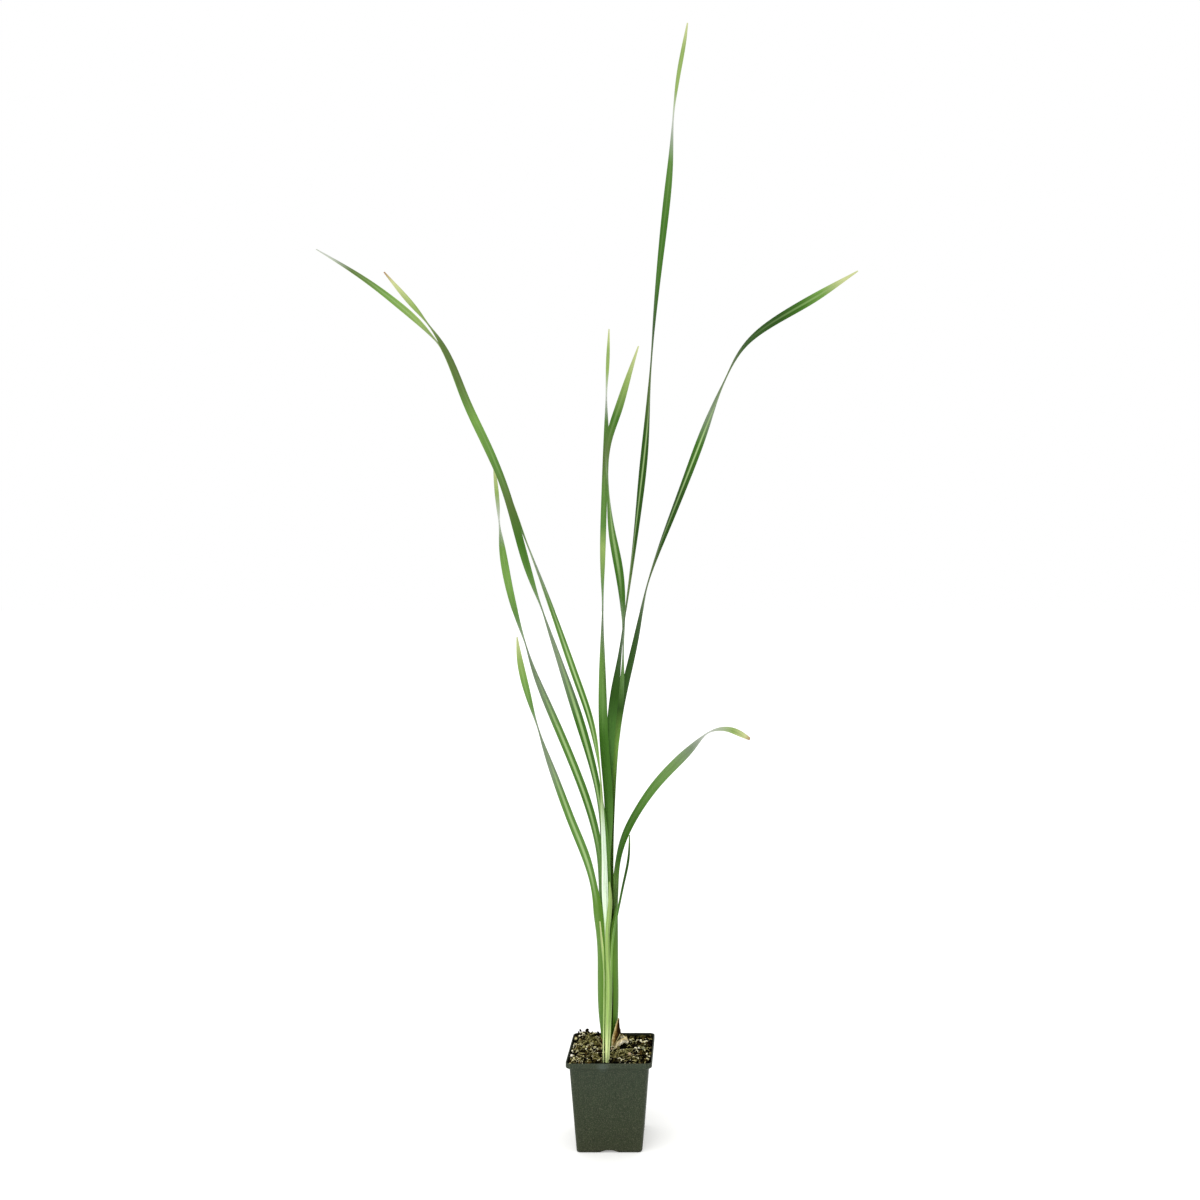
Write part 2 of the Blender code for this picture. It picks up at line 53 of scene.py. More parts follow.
camera = bpy.data.objects.new("camera", bpy.data.cameras.new("camera"))
bpy.context.scene.collection.objects.link(camera)
camera.location = EYE
camera.rotation_euler = (math.pi / 2, 0.0, 0.0)
camera.data.lens = FOCAL_MM
camera.data.sensor_width = 36.0
camera.data.shift_x = FRAME_SHIFT
bpy.context.scene.camera = camera

# Nursery pot. One thin injection-moulded shell of polypropylene: tapered square body, a stepped band
# round the rim, a rounded foot and a drain notch in the middle of each side. It stands on its foot.
RIM_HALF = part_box("pot")[1].x
POT_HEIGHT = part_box("pot")[1].z
BODY_TOP_HALF = 0.0408
BASE_HALF = 0.0340
RIM_BAND = 0.0050
RIM_STEP = 0.0030
WALL = 0.0012
CORNER_RADIUS = 0.0045
FOOT_RADIUS = 0.0018
LIP_RADIUS = 0.0004
NOTCH_WIDTH = 0.021
NOTCH_HEIGHT = 0.003
NOTCH_DEPTH = 0.012
DUST_SHARES = [(0.0, 0.32), (0.1, 0.19), (0.9, 0.21), (1.0, 0.32)]
# Where the painted highlight on the front of the rim lies.
RIM_HIGHLIGHT_PLACE = (-0.0065, -0.0445, 0.0925)
CORNER_STEPS = 8
SIDE_STEPS = 12


def linear(code):
    """An sRGB hex colour as linear RGBA."""
    values = [int(code[i : i + 2], 16) / 255 for i in (1, 3, 5)]
    return (*[v / 12.92 if v <= 0.04045 else ((v + 0.055) / 1.055) ** 2.4 for v in values], 1.0)


def add_node(tree, kind, feeds=None, **settings):
    """One node with its settings. An input named in feeds takes a value, an output or a node's first."""
    node = tree.nodes.new("ShaderNode" + kind)
    for name, value in settings.items():
        setattr(node, name, value)
    for name, value in (feeds or {}).items():
        if isinstance(value, bpy.types.Node):
            value = next(output for output in value.outputs if output.enabled)
        if isinstance(value, bpy.types.NodeSocket):
            tree.links.new(value, node.inputs[name])
        else:
            node.inputs[name].default_value = value
    return node


def new_material(name, **constants):
    """A Principled material with its constant sockets set, and its node tree and shader."""
    material = bpy.data.materials.new(name)
    material.use_nodes = True
    shader = material.node_tree.nodes["Principled BSDF"]
    for socket, value in constants.items():
        shader.inputs[socket.replace("_", " ")].default_value = value
    return material, material.node_tree, shader


def set_ramp(ramp, stops, interpolation="LINEAR"):
    """Fills a colour ramp from (place, colour) pairs."""
    ramp.interpolation = interpolation
    while len(ramp.elements) < len(stops):
        ramp.elements.new(0.5)
    for element, (place, colour) in zip(ramp.elements, stops):
        element.position = place
        element.color = colour


def set_piece(piece, body, replaced=None):
    """Fixes a finished piece to its body and hides the solid that it stands for."""
    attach(piece, body)
    if replaced:
        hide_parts(replaced)


def link_mesh(name, mesh, material, sharp_from=40):
    """An object of the mesh with its finish, smooth but for edges sharper than sharp_from degrees."""
    mesh.materials.append(material)
    mesh.shade_smooth()
    mesh.set_sharp_from_angle(angle=math.radians(sharp_from))
    piece = bpy.data.objects.new(name, mesh)
    bpy.context.scene.collection.objects.link(piece)
    return piece


def square_ring(half, radius, z):
    """Points round a rounded square, with the same count and order whatever its size."""
    points = []
    for corner in range(4):
        turn = corner * math.pi / 2
        for step in range(CORNER_STEPS + 1):
            a = math.pi / 2 * step / CORNER_STEPS
            out = half - radius
            points.append((out + radius * math.cos(a), out + radius * math.sin(a), turn))
        for step in range(1, SIDE_STEPS):
            along = (half - radius) * (1 - 2 * step / SIDE_STEPS)
            points.append((along, half, turn))
    return [
        (x * math.cos(turn) - y * math.sin(turn), x * math.sin(turn) + y * math.cos(turn), z)
        for x, y, turn in points
    ]


def pot_rings():
    """The pot's section from under its middle, up the outside, over the lip and down the inside."""
    body_top = POT_HEIGHT - RIM_BAND - RIM_STEP
    band_foot = POT_HEIGHT - RIM_BAND
    taper = (BODY_TOP_HALF - BASE_HALF) / body_top
    rings = [(BASE_HALF * 0.55, 0.003, 0.0005), (BASE_HALF * 0.62, 0.003, 0.0)]
    for step in range(5):
        a = math.pi / 2 * step / 4
        inset = FOOT_RADIUS * (1 - math.sin(a))
        z = FOOT_RADIUS * (1 - math.cos(a))
        rings.append((BASE_HALF + taper * z - inset, CORNER_RADIUS - inset, z))
    for share in (0.2, 0.4, 0.6, 0.8, 0.97):
        z = FOOT_RADIUS + (body_top - FOOT_RADIUS) * share
        rings.append((BASE_HALF + taper * z, CORNER_RADIUS + 0.0009 * share, z))
    rim_corner = CORNER_RADIUS * RIM_HALF / BASE_HALF
    rings += [
        (BODY_TOP_HALF + 0.0001, rim_corner - 0.0006, body_top + 0.0001),
        (BODY_TOP_HALF + 0.0002, rim_corner - 0.0006, body_top + 0.0004),
        (BODY_TOP_HALF + 0.0005, rim_corner - 0.0005, body_top + 0.0007),
        (BODY_TOP_HALF + 0.0012, rim_corner - 0.0004, body_top + 0.0011),
        (RIM_HALF - 0.0008, rim_corner - 0.0002, band_foot - 0.0007),
        (RIM_HALF - 0.0003, rim_corner - 0.0001, band_foot - 0.0003),
        (RIM_HALF - 0.0001, rim_corner, band_foot + 0.0001),
        (RIM_HALF, rim_corner, band_foot + 0.0006),
        (RIM_HALF, rim_corner, POT_HEIGHT - LIP_RADIUS),
        (RIM_HALF - LIP_RADIUS * 0.3, rim_corner - 0.0001, POT_HEIGHT - LIP_RADIUS * 0.3),
        (RIM_HALF - LIP_RADIUS, rim_corner - 0.0004, POT_HEIGHT),
        (RIM_HALF - WALL + LIP_RADIUS, rim_corner - 0.0008, POT_HEIGHT),
        (RIM_HALF - WALL, rim_corner - WALL, POT_HEIGHT - LIP_RADIUS),
        (RIM_HALF - WALL, rim_corner - WALL, band_foot + 0.0006),
        (BODY_TOP_HALF - WALL, rim_corner - 0.0005 - WALL, body_top + 0.0006),
    ]
    for share in (0.75, 0.5, 0.25):
        z = FOOT_RADIUS + (body_top - FOOT_RADIUS) * share
        rings.append((BASE_HALF + taper * z - WALL, CORNER_RADIUS - WALL, z))
    rings += [
        (BASE_HALF - WALL - 0.0004, CORNER_RADIUS - WALL, FOOT_RADIUS),
        (BASE_HALF - WALL - 0.0024, CORNER_RADIUS - 0.0025, WALL),
    ]
    return rings


def ring_mesh(name, rings):
    """A closed mesh through rings of equal counts, with both ends filled."""
    count = len(rings[0])
    points = [p for ring in rings for p in ring]
    faces = []
    for i in range(len(rings) - 1):
        for j in range(count):
            k = (j + 1) % count
            faces.append((i * count + j, i * count + k, (i + 1) * count + k, (i + 1) * count + j))
    faces.append(tuple(range(count))[::-1])
    faces.append(tuple(range((len(rings) - 1) * count, len(rings) * count)))
    mesh = bpy.data.meshes.new(name)
    mesh.from_pydata(points, [], faces)
    return mesh


def moulded_polypropylene():
    """Dark green polypropylene, moulded in a tool with a fine spark-eroded grain: satin, near black at the
    foot as painted shade, a little lighter and cooler towards the rim, darker inside the rim, with faint
    rubbed lines down the sides, dust in the grain and a painted bluish highlight on the front of the rim."""
    material, tree, shader = new_material(
        "dark_green_polypropylene", Roughness=0.5, IOR=1.49, Specular_IOR_Level=0.18
    )
    place = add_node(tree, "TexCoord").outputs["Object"]
    height = add_node(tree, "SeparateXYZ", {"Vector": place}).outputs["Z"]
    share = add_node(tree, "Math", {0: height, 1: POT_HEIGHT}, operation="DIVIDE")
    # Near black at the foot: painted shade where the pot meets the floor. Above it the body is a little
    # lighter towards the rim.
    body = add_node(tree, "ValToRGB", {"Fac": share})
    set_ramp(
        body.color_ramp,
        [
            (0.0, linear("#141808")),
            (0.04, linear("#262d18")),
            (0.55, linear("#283220")),
            (0.97, linear("#2a3526")),
        ],
    )
    stretched = add_node(tree, "Mapping", {"Vector": place, "Scale": (1400, 1400, 60)})
    rubbed = add_node(tree, "TexNoise", {"Vector": stretched, "Scale": 1.0, "Detail": 3.0})
    lines = add_node(
        tree,
        "MapRange",
        {"Value": rubbed, "From Min": 0.3, "From Max": 0.7, "To Min": 0.80, "To Max": 1.20},
    )
    cloud = add_node(tree, "TexNoise", {"Vector": place, "Scale": 70.0, "Detail": 5.0, "Roughness": 0.6})
    mottle = add_node(tree, "MapRange", {"Value": cloud, "To Min": 0.88, "To Max": 1.12})
    shade = add_node(tree, "Math", {0: mottle, 1: lines}, operation="MULTIPLY")
    tinted = add_node(tree, "VectorMath", {0: body, "Scale": shade}, operation="SCALE")
    # Dust: pale specks, thicker near the rim and along the foot.
    specks = add_node(tree, "TexNoise", {"Vector": place, "Scale": 1100.0, "Detail": 3.0})
    found = add_node(tree, "MapRange", {"Value": specks, "From Min": 0.48, "From Max": 0.72})
    near = add_node(tree, "ValToRGB", {"Fac": share})
    set_ramp(near.color_ramp, [(level, (grey, grey, grey, 1)) for level, grey in DUST_SHARES])
    dust = add_node(tree, "Math", {0: found, 1: near}, operation="MULTIPLY")
    dusty = add_node(tree, "Mix", {"Factor": dust, "A": tinted, "B": linear("#8d8873")}, data_type="RGBA")
    # The inside of the rim above the mix is darker: only there is a place closer in than the wall.
    core = RIM_HALF - CORNER_RADIUS
    past = add_node(tree, "VectorMath", {0: place}, operation="ABSOLUTE")
    past = add_node(tree, "VectorMath", {0: past, 1: (core, core, 1.0)}, operation="SUBTRACT")
    past = add_node(tree, "VectorMath", {0: past}, operation="MAXIMUM")
    past = add_node(tree, "VectorMath", {0: past}, operation="LENGTH").outputs["Value"]
    inside = add_node(
        tree,
        "MapRange",
        {"Value": past, "From Min": CORNER_RADIUS - 0.0004, "From Max": CORNER_RADIUS - 0.0008},
    )
    in_rim = add_node(tree, "Math", {0: height, 1: POT_HEIGHT - RIM_BAND}, operation="GREATER_THAN")
    rim_darkening = add_node(tree, "Math", {0: inside, 1: in_rim}, operation="MULTIPLY")
    rim_darkening = add_node(tree, "Math", {0: rim_darkening, 1: 0.5}, operation="MULTIPLY")
    dusty = add_node(tree, "Mix", {"Factor": rim_darkening, "A": dusty, "B": linear("#1d190c")}, data_type="RGBA")
    # A painted bluish highlight, 12 mm across, on the front of the rim.
    away = add_node(tree, "VectorMath", {0: place, 1: RIM_HIGHLIGHT_PLACE}, operation="DISTANCE").outputs["Value"]
    ragged = add_node(tree, "MapRange", {"Value": cloud, "To Min": -0.004, "To Max": 0.004})
    edge = add_node(tree, "Math", {0: away, 1: ragged}, operation="ADD")
    rim_highlight = add_node(
        tree, "MapRange", {"Value": edge, "From Min": 0.008, "From Max": 0.002, "To Max": 0.4}
    )
    colour = add_node(
        tree, "Mix", {"Factor": rim_highlight, "A": dusty, "B": linear("#56615a")}, data_type="RGBA"
    )
    tree.links.new(colour.outputs["Result"], shader.inputs["Base Color"])
    # The moulding grain is 0.25 mm; it is drawn at 0.6 mm so that it shows.
    grain = add_node(tree, "TexNoise", {"Vector": place, "Scale": 1600.0, "Detail": 1.0})
    relief = add_node(tree, "Math", {0: grain, 1: rubbed}, operation="ADD")
    bump = add_node(tree, "Bump", {"Strength": 0.3, "Distance": 0.0002, "Height": relief})
    tree.links.new(bump.outputs[0], shader.inputs["Normal"])
    satin = add_node(tree, "MapRange", {"Value": cloud, "To Min": 0.42, "To Max": 0.6})
    tree.links.new(satin.outputs[0], shader.inputs["Roughness"])
    return material


pot_shell = ring_mesh("nursery_pot", [square_ring(*ring) for ring in pot_rings()])
pot = link_mesh("nursery_pot", pot_shell, moulded_polypropylene(), 30)
arch_radius = ((NOTCH_WIDTH / 2) ** 2 + NOTCH_HEIGHT**2) / (2 * NOTCH_HEIGHT)
for side in range(4):
    angle = side * math.pi / 2
    bm = bmesh.new()
    bmesh.ops.create_cone(
        bm, cap_ends=True, segments=160, radius1=arch_radius, radius2=arch_radius, depth=NOTCH_DEPTH
    )
    arch = bpy.data.meshes.new(f"notch_{side}")
    bm.to_mesh(arch)
    bm.free()
    cutter = bpy.data.objects.new(f"notch_cutter_{side}", arch)
    bpy.context.scene.collection.objects.link(cutter)
    cutter.location = (
        BASE_HALF * math.sin(angle),
        -BASE_HALF * math.cos(angle),
        NOTCH_HEIGHT - arch_radius,
    )
    cutter.rotation_euler = (math.pi / 2, 0.0, angle)
    cutter.hide_render = True
    cutter.display_type = "WIRE"
    notch = pot.modifiers.new("Notch", "BOOLEAN")
    notch.operation = "DIFFERENCE"
    notch.object = cutter
set_piece(pot, "root", "pot")

# Potting mix. A bed of peat, bark fines and coarse grit poured in up to the rim, heaped at the back
# left and slumped at the back right. The grains are loose on the bed and half sunk in it.
MIX_HALF = RIM_HALF - WALL - 0.0004
MIX_CORNER = 0.0060
MIX_LEVEL = 0.0938
MIX_EDGE_LEVEL = 0.0922
BED_CELLS = 120
FRONT_FOOT = (-0.0034, -0.0325)
# Mossy hummocks: x, y, radius and height. And the hollow under the curled scrap of dry leaf.
HUMMOCKS = [
    (0.0105, -0.0140, 0.0100, 0.0030),
    (0.0215, -0.0030, 0.0070, 0.0010),
    (-0.0240, 0.0260, 0.0085, 0.0016),
    (0.0330, 0.0090, 0.0075, 0.0010),
    (0.0300, -0.0250, 0.0065, 0.0008),
]
HOLLOW = (0.0118, 0.0075, 0.0052, 0.0040)


def in_rounded_square(x, y, half, radius):
    """Draws the corners of a square in to a rounded square."""
    flat = half - radius
    a, b = (abs(x) - flat) / radius, (abs(y) - flat) / radius
    if a <= 0 or b <= 0:
        return x, y
    x = math.copysign(flat + radius * a * math.sqrt(1 - b * b / 2), x)
    y = math.copysign(flat + radius * b * math.sqrt(1 - a * a / 2), y)
    return x, y


def mix_height(x, y):
    """The height of the mix: the solid's own form."""
    lumps = 0.0010 * noise.noise(Vector((x, y, 0.0)) * 130)
    grit = 0.0006 * noise.noise(Vector((x, y, 0.5)) * 320)
    heap = 0.0045 * math.exp(-((x + 0.030) ** 2 + (y - 0.034) ** 2) / 0.012**2)
    dip = 0.0016 * math.exp(-((x - 0.030) ** 2 + (y - 0.034) ** 2) / 0.018**2)
    return max(MIX_LEVEL + lumps + grit + heap - dip, MIX_EDGE_LEVEL)


def mound(x, y, mounds):
    """How much the mounds raise a place."""
    return sum(h * math.exp(-(((x - u) ** 2 + (y - v) ** 2) / r**2) ** 1.5) for u, v, r, h in mounds)


def ground(x, y):
    """The top of the loose mix: the solid's form, with the hummocks, the hollow and a gap at the back."""
    gap = 0.0008 * max(0.0, min(1.0, (y - 0.034) / 0.006)) * max(0.0, min(1.0, (x - 0.004) / 0.006))
    return mix_height(x, y) + mound(x, y, HUMMOCKS) - mound(x, y, [HOLLOW]) - gap


def bed_mesh():
    """A closed bed: its rough top, its sides against the pot, and its underside."""
    bm = bmesh.new()
    bmesh.ops.create_grid(bm, x_segments=BED_CELLS, y_segments=BED_CELLS, size=MIX_HALF)
    for vertex in bm.verts:
        x, y = in_rounded_square(vertex.co.x, vertex.co.y, MIX_HALF, MIX_CORNER)
        crumb = 0.0011 * noise.noise(Vector((x, y, 2.5)) * 480)
        crumb += 0.0009 * noise.noise(Vector((x, y, 1.5)) * 900)
        # Near the wall the bed lies on the slope under the pot's rim band.
        slope = 0.0890 + 0.81 * (max(abs(x), abs(y)) - 0.0394)
        vertex.co = x, y, max(ground(x, y) - 0.0014 + crumb, slope)
    rim = [e for e in bm.edges if e.is_boundary]
    for scale, level in ((1.0, 0.0915), (0.914, 0.0889), (0.84, 0.045)):
        made = bmesh.ops.extrude_edge_only(bm, edges=rim)["geom"]
        for vertex in (g for g in made if isinstance(g, bmesh.types.BMVert)):
            vertex.co = vertex.co.x * scale, vertex.co.y * scale, level
        rim = [g for g in made if isinstance(g, bmesh.types.BMEdge) and g.is_boundary]
    bmesh.ops.edgeloop_fill(bm, edges=rim)
    bmesh.ops.recalc_face_normals(bm, faces=bm.faces)
    mesh = bpy.data.meshes.new("mix_bed")
    bm.to_mesh(mesh)
    bm.free()
    return mesh


def damp_peat():
    """Damp peat and bark fines, dark brown on the crumbs and matt, with painted shade that makes the gaps
    between them black.
    """
    material, tree, shader = new_material("damp_peat", Roughness=0.95, Specular_IOR_Level=0.03)
    place = add_node(tree, "TexCoord").outputs["Object"]
    crumbs = add_node(
        tree, "TexNoise", {"Vector": place, "Scale": 620.0, "Detail": 6.0, "Roughness": 0.7}
    )
    # The same noise shapes the bump, so its low places, the gaps, take the near black: painted shade.
    tone = add_node(tree, "ValToRGB", {"Fac": crumbs})
    set_ramp(
        tone.color_ramp,
        [
            (0.34, linear("#030201")),
            (0.54, linear("#0b0905")),
            (0.68, linear("#1a150a")),
            (0.82, linear("#352f1b")),
        ],
    )
    tree.links.new(tone.outputs["Color"], shader.inputs["Base Color"])
    bump = add_node(tree, "Bump", {"Strength": 0.8, "Distance": 0.0006, "Height": crumbs})
    tree.links.new(bump.outputs[0], shader.inputs["Normal"])
    return material


bed = link_mesh("mix_bed", bed_mesh(), damp_peat(), 60)
set_piece(bed, "root", "potting_mix")

# Grit. Crushed stone and baked clay of 1.3 to 4 mm, loose on the bed or half sunk in it, from olive and
# tan to nearly black, drawn darker to the front right, with painted shade under the front rim. Some of it
# has banked up against the wall at the back right.
GRIT_COUNT = 780
WALL_ROW = 70
GRIT_TONES = ["#030200", "#0b0800", "#2a250a", "#453f1d", "#615b30"]
GRIT_TONES += ["#827c4a", "#a8a26c", "#d3cd9a", "#fbf5d0"]
# What loose bits keep clear of, as x, y and reach: the two shoots, the hollow and the scrap.
CLEARINGS = [
    (-0.0035, 0.0180, 0.0112),
    (*FRONT_FOOT, 0.0042),
    (*HOLLOW[:2], 0.0046),
    (0.0125, 0.0160, 0.0055),
]
BEFORE_SHOOT = 0.0046
MOSS_TOLERATED = 0.0009


def stone_form(seed, roundness, flatness, detail=2):
    """Points and triangles of one grain about 1 across: a ball knocked into facets."""
    bm = bmesh.new()
    bmesh.ops.create_icosphere(bm, subdivisions=detail, radius=0.5)
    chooser = np.random.default_rng(seed)
    cuts = chooser.normal(size=(9, 3))
    cuts /= np.linalg.norm(cuts, axis=1)[:, None]
    depths = chooser.uniform(0.24 + 0.2 * roundness, 0.5, 9)
    points = np.array([v.co for v in bm.verts])
    for cut, depth in zip(cuts, depths):
        over = np.maximum(points @ cut - depth, 0.0)
        points -= over[:, None] * cut * 0.92
    for i, point in enumerate(points):
        points[i] *= 1 + 0.16 * noise.noise(Vector(point * 4.0) + Vector((seed, 0, 0)))
    points[:, 2] *= flatness
    faces = np.array([[v.index for v in f.verts] for f in bm.faces])
    bm.free()
    return points, faces


def scattered(name, forms, places, sizes, turns, tones, material, sharp_from=35):
    """One mesh of many grains: each a form, set at its place, size and turn, with its own tone."""
    all_points, all_faces, all_tones, start = [], [], [], 0
    for i, place in enumerate(places):
        points, faces = forms[i % len(forms)]
        a, b, c = turns[i]
        spin = np.array([[math.cos(a), -math.sin(a), 0], [math.sin(a), math.cos(a), 0], [0, 0, 1]])
        nod = np.array([[1, 0, 0], [0, math.cos(b), -math.sin(b)], [0, math.sin(b), math.cos(b)]])
        roll = np.array([[math.cos(c), 0, math.sin(c)], [0, 1, 0], [-math.sin(c), 0, math.cos(c)]])
        all_points.append(points @ (spin @ nod @ roll).T * sizes[i] + place)
        all_faces.append(faces + start)
        all_tones.append(np.full(len(points), tones[i]))
        start += len(points)
    mesh = bpy.data.meshes.new(name)
    mesh.from_pydata(np.concatenate(all_points).tolist(), [], np.concatenate(all_faces).tolist())
    tone = mesh.attributes.new("tone", "FLOAT", "POINT")
    tone.data.foreach_set("value", np.concatenate(all_tones).astype(np.float32))
    return link_mesh(name, mesh, material, sharp_from)


def open_ground(chooser, count, margin, wanted=lambda x, y: 1.0):
    """Places on the bed clear of the wall, the shoots, the scrap and its hollow, and the thick of the
    moss, and not in front of the front shoot."""
    places = []
    while len(places) < count:
        x, y = chooser.uniform(-1, 1, 2) * (MIX_HALF - margin)
        x, y = in_rounded_square(x, y, MIX_HALF - margin, MIX_CORNER)
        taken = any(math.hypot(x - u, y - v) < reach for u, v, reach in CLEARINGS)
        before = y < FRONT_FOOT[1] and abs(x - FRONT_FOOT[0]) < BEFORE_SHOOT
        if taken or before or mound(x, y, HUMMOCKS) > MOSS_TOLERATED:
            continue
        if chooser.uniform() < wanted(x, y):
            places.append((x, y))
    return places


def loose_grain(name, tones, roughness, fleck, fine):
    """Stone, bark or perlite grains: each takes one of the tones, with finer flecks on its faces."""
    material, tree, shader = new_material(name, Roughness=roughness, Specular_IOR_Level=0.02)
    tone = add_node(tree, "Attribute", attribute_name="tone").outputs["Fac"]
    base = add_node(tree, "ValToRGB", {"Fac": tone})
    steps = [(i / len(tones), linear(code)) for i, code in enumerate(tones)]
    set_ramp(base.color_ramp, steps, "CONSTANT")
    place = add_node(tree, "TexCoord").outputs["Object"]
    flecks = add_node(
        tree, "TexNoise", {"Vector": place, "Scale": fine, "Detail": 4.0, "Roughness": 0.65}
    )
    shade = add_node(
        tree,
        "MapRange",
        {"Value": flecks, "From Min": 0.3, "From Max": 0.7, "To Min": 1 - fleck, "To Max": 1 + fleck},
    )
    shaded = add_node(tree, "VectorMath", {0: base, "Scale": shade}, operation="SCALE")
    tree.links.new(shaded.outputs[0], shader.inputs["Base Color"])
    bump = add_node(tree, "Bump", {"Strength": 0.5, "Distance": 0.0003, "Height": flecks})
    tree.links.new(bump.outputs[0], shader.inputs["Normal"])
    return material


def share_of(value):
    """Keeps a share between 0 and 1."""
    return max(0.0, min(1.0, value))


def rim_shade_and_darkening(x, y):
    """How much darker the mix is drawn: more to the front right, and most by the front wall at the shoot,
    where it is painted shade under the rim.
    """
    front_rim_shade = share_of((-0.033 - y) / 0.004) * share_of((0.017 - abs(x + 0.003)) / 0.006)
    return 0.5 * share_of(0.4 + x / 0.08 - y / 0.08) + 2.0 * front_rim_shade


chooser = np.random.default_rng(11)
grit_ground = open_ground(chooser, GRIT_COUNT, 0.0008)
grit_tone = [chooser.uniform() ** (1.25 + rim_shade_and_darkening(x, y)) for x, y in grit_ground]
grit_place = [(x, y, ground(x, y) - 0.0004 + chooser.uniform(-0.0008, 0.0012)) for x, y in grit_ground]
# The row by the back wall takes only the darker tones: painted shade of the rim.
for _ in range(WALL_ROW):
    x, y = chooser.uniform(0.006, 0.041), chooser.uniform(0.0375, 0.0418)
    grit_place.append((x, y, ground(x, y) + chooser.uniform(0.0008, 0.0020)))
    grit_tone.append(0.62 * chooser.uniform())
grit = scattered(
    "mix_grit",
    [stone_form(seed, 0.3, chooser.uniform(0.6, 0.95)) for seed in range(16)],
    grit_place,
    np.clip(chooser.lognormal(math.log(0.0021), 0.34, len(grit_place)), 0.0011, 0.0042),
    chooser.uniform(0, math.tau, (len(grit_place), 3)),
    grit_tone,
    loose_grain("crushed_grit", GRIT_TONES, 0.9, 0.35, 1500.0),
)
set_piece(grit, "root")

# Bark and peat crumbs. Flat dark flakes and twiggy bits of composted bark, loose among the grit. The
# largest stand up at the back left: x, y, z and size.
BARK_COUNT = 260
CLODS = [
    (-0.0385, 0.0385, 0.0982, 0.0042),
    (-0.0366, 0.0405, 0.0996, 0.0040),
    (-0.0338, 0.0385, 0.0984, 0.0046),
    (-0.0298, 0.0400, 0.1002, 0.0050),
    (-0.0280, 0.0380, 0.0990, 0.0040),
    (-0.0240, 0.0395, 0.0978, 0.0034),
    (-0.0200, 0.0385, 0.0975, 0.0038),
    (-0.0172, 0.0370, 0.0985, 0.0040),
    (-0.0145, 0.0350, 0.0978, 0.0040),
]
chooser = np.random.default_rng(12)
bark_ground = open_ground(chooser, BARK_COUNT, 0.002)
bark_place = [(x, y, ground(x, y) + chooser.uniform(-0.0002, 0.0009)) for x, y in bark_ground]
bark_size = chooser.uniform(0.0022, 0.0050, BARK_COUNT)
bark_turn = [(chooser.uniform(0, math.tau), *chooser.normal(0, 0.6, 2)) for _ in bark_ground]
clod_turn = chooser.uniform(0, math.tau, (len(CLODS), 3))
bark = scattered(
    "mix_bark",
    [stone_form(seed, 0.1, chooser.uniform(0.3, 0.6)) for seed in range(40, 50)],
    bark_place + [clod[:3] for clod in CLODS],
    [*bark_size, *[clod[3] for clod in CLODS]],
    np.concatenate([bark_turn, clod_turn]),
    [*chooser.uniform(0, 1, BARK_COUNT), *chooser.uniform(0, 0.5, len(CLODS))],
    loose_grain(
        "composted_bark",
        ["#070502", "#0f0b06", "#1a130a", "#0b0804", "#2c2010", "#54431f"],
        0.8,
        0.4,
        900.0,
    ),
)
set_piece(bark, "root")

# Fibres. Bits of dead root, straw and moss stem, 3 to 6 mm long, curled loose on the mix, mostly at the
# front left. The long pale one lies in an arch at the back right.
FIBRE_COUNT = 400


def thread_form(seed):
    """Points and triangles of one bent, kinked, tapering thread about 1 long."""
    chooser = np.random.default_rng(seed)
    t = np.linspace(-0.5, 0.5, 9)
    bow, sway = chooser.uniform(0.1, 1.1), chooser.uniform(0.04, 0.12)
    phase = chooser.uniform(0, math.tau)
    curl = bow * (0.25 - t**2) + sway * np.sin(11 * t + phase)
    line = np.column_stack([t, curl, 0.12 * np.cos(math.pi * t)])
    along = np.gradient(line, axis=0)
    along /= np.linalg.norm(along, axis=1)[:, None]
    level = np.cross(along, (0.0, 0.0, 1.0))
    level /= np.linalg.norm(level, axis=1)[:, None]
    upright = np.cross(level, along)
    girth = 0.060 * (1 - 0.7 * np.abs(2 * t) ** 3) * chooser.uniform(0.6, 1.15)
    points, faces = [], []
    for i in range(len(t)):
        for j in range(6):
            a = math.tau * j / 6
            points.append(line[i] + girth[i] * (level[i] * math.cos(a) + 0.7 * upright[i] * math.sin(a)))
            if i:
                k, low = (j + 1) % 6, (i - 1) * 6
                faces += [(low + j, low + k, low + 6 + k), (low + j, low + 6 + k, low + 6 + j)]
    last = (len(t) - 1) * 6
    for j in range(1, 5):
        faces += [(0, j + 1, j), (last, last + j, last + j + 1)]
    return np.array(points), np.array(faces)


def paler(x, y):
    """1 at the front left, where most fibres lie and are palest, down to 0 at the back and right."""
    return share_of(0.55 - x / 0.05 - y / 0.06)


chooser = np.random.default_rng(14)
fibre_ground = open_ground(chooser, FIBRE_COUNT, 0.0030, lambda x, y: 0.22 + 0.78 * paler(x, y))
fibre_tone = [chooser.uniform() ** (1.5 - 0.3 * paler(x, y) + rim_shade_and_darkening(x, y)) for x, y in fibre_ground]
fibre_place = [(x, y, ground(x, y) + chooser.uniform(0.0001, 0.0013)) for x, y in fibre_ground]
fibre_turn = [(chooser.uniform(0, math.tau), *chooser.normal(0, 0.35, 2)) for _ in fibre_ground]
fibres = scattered(
    "mix_fibres",
    [thread_form(seed) for seed in range(80, 96)],
    [*fibre_place, (0.0330, 0.0290, 0.0938)],
    [*chooser.uniform(0.0034, 0.0066, FIBRE_COUNT), 0.0125],
    [*fibre_turn, (math.pi, math.radians(-50), 0.0)],
    [*fibre_tone, 0.9],
    loose_grain(
        "dead_root_fibre",
        ["#120e04", "#3b3418", "#756d3d", "#a8a069", "#d4cc96", "#f7f0c9"],
        0.85,
        0.25,
        1500.0,
    ),
    60,
)
set_piece(fibres, "root")

# Moss. An olive cushion moss that has grown over the old surface of the mix, in low hummocks, each a
# crowd of small star-shaped tufts rooted in it.


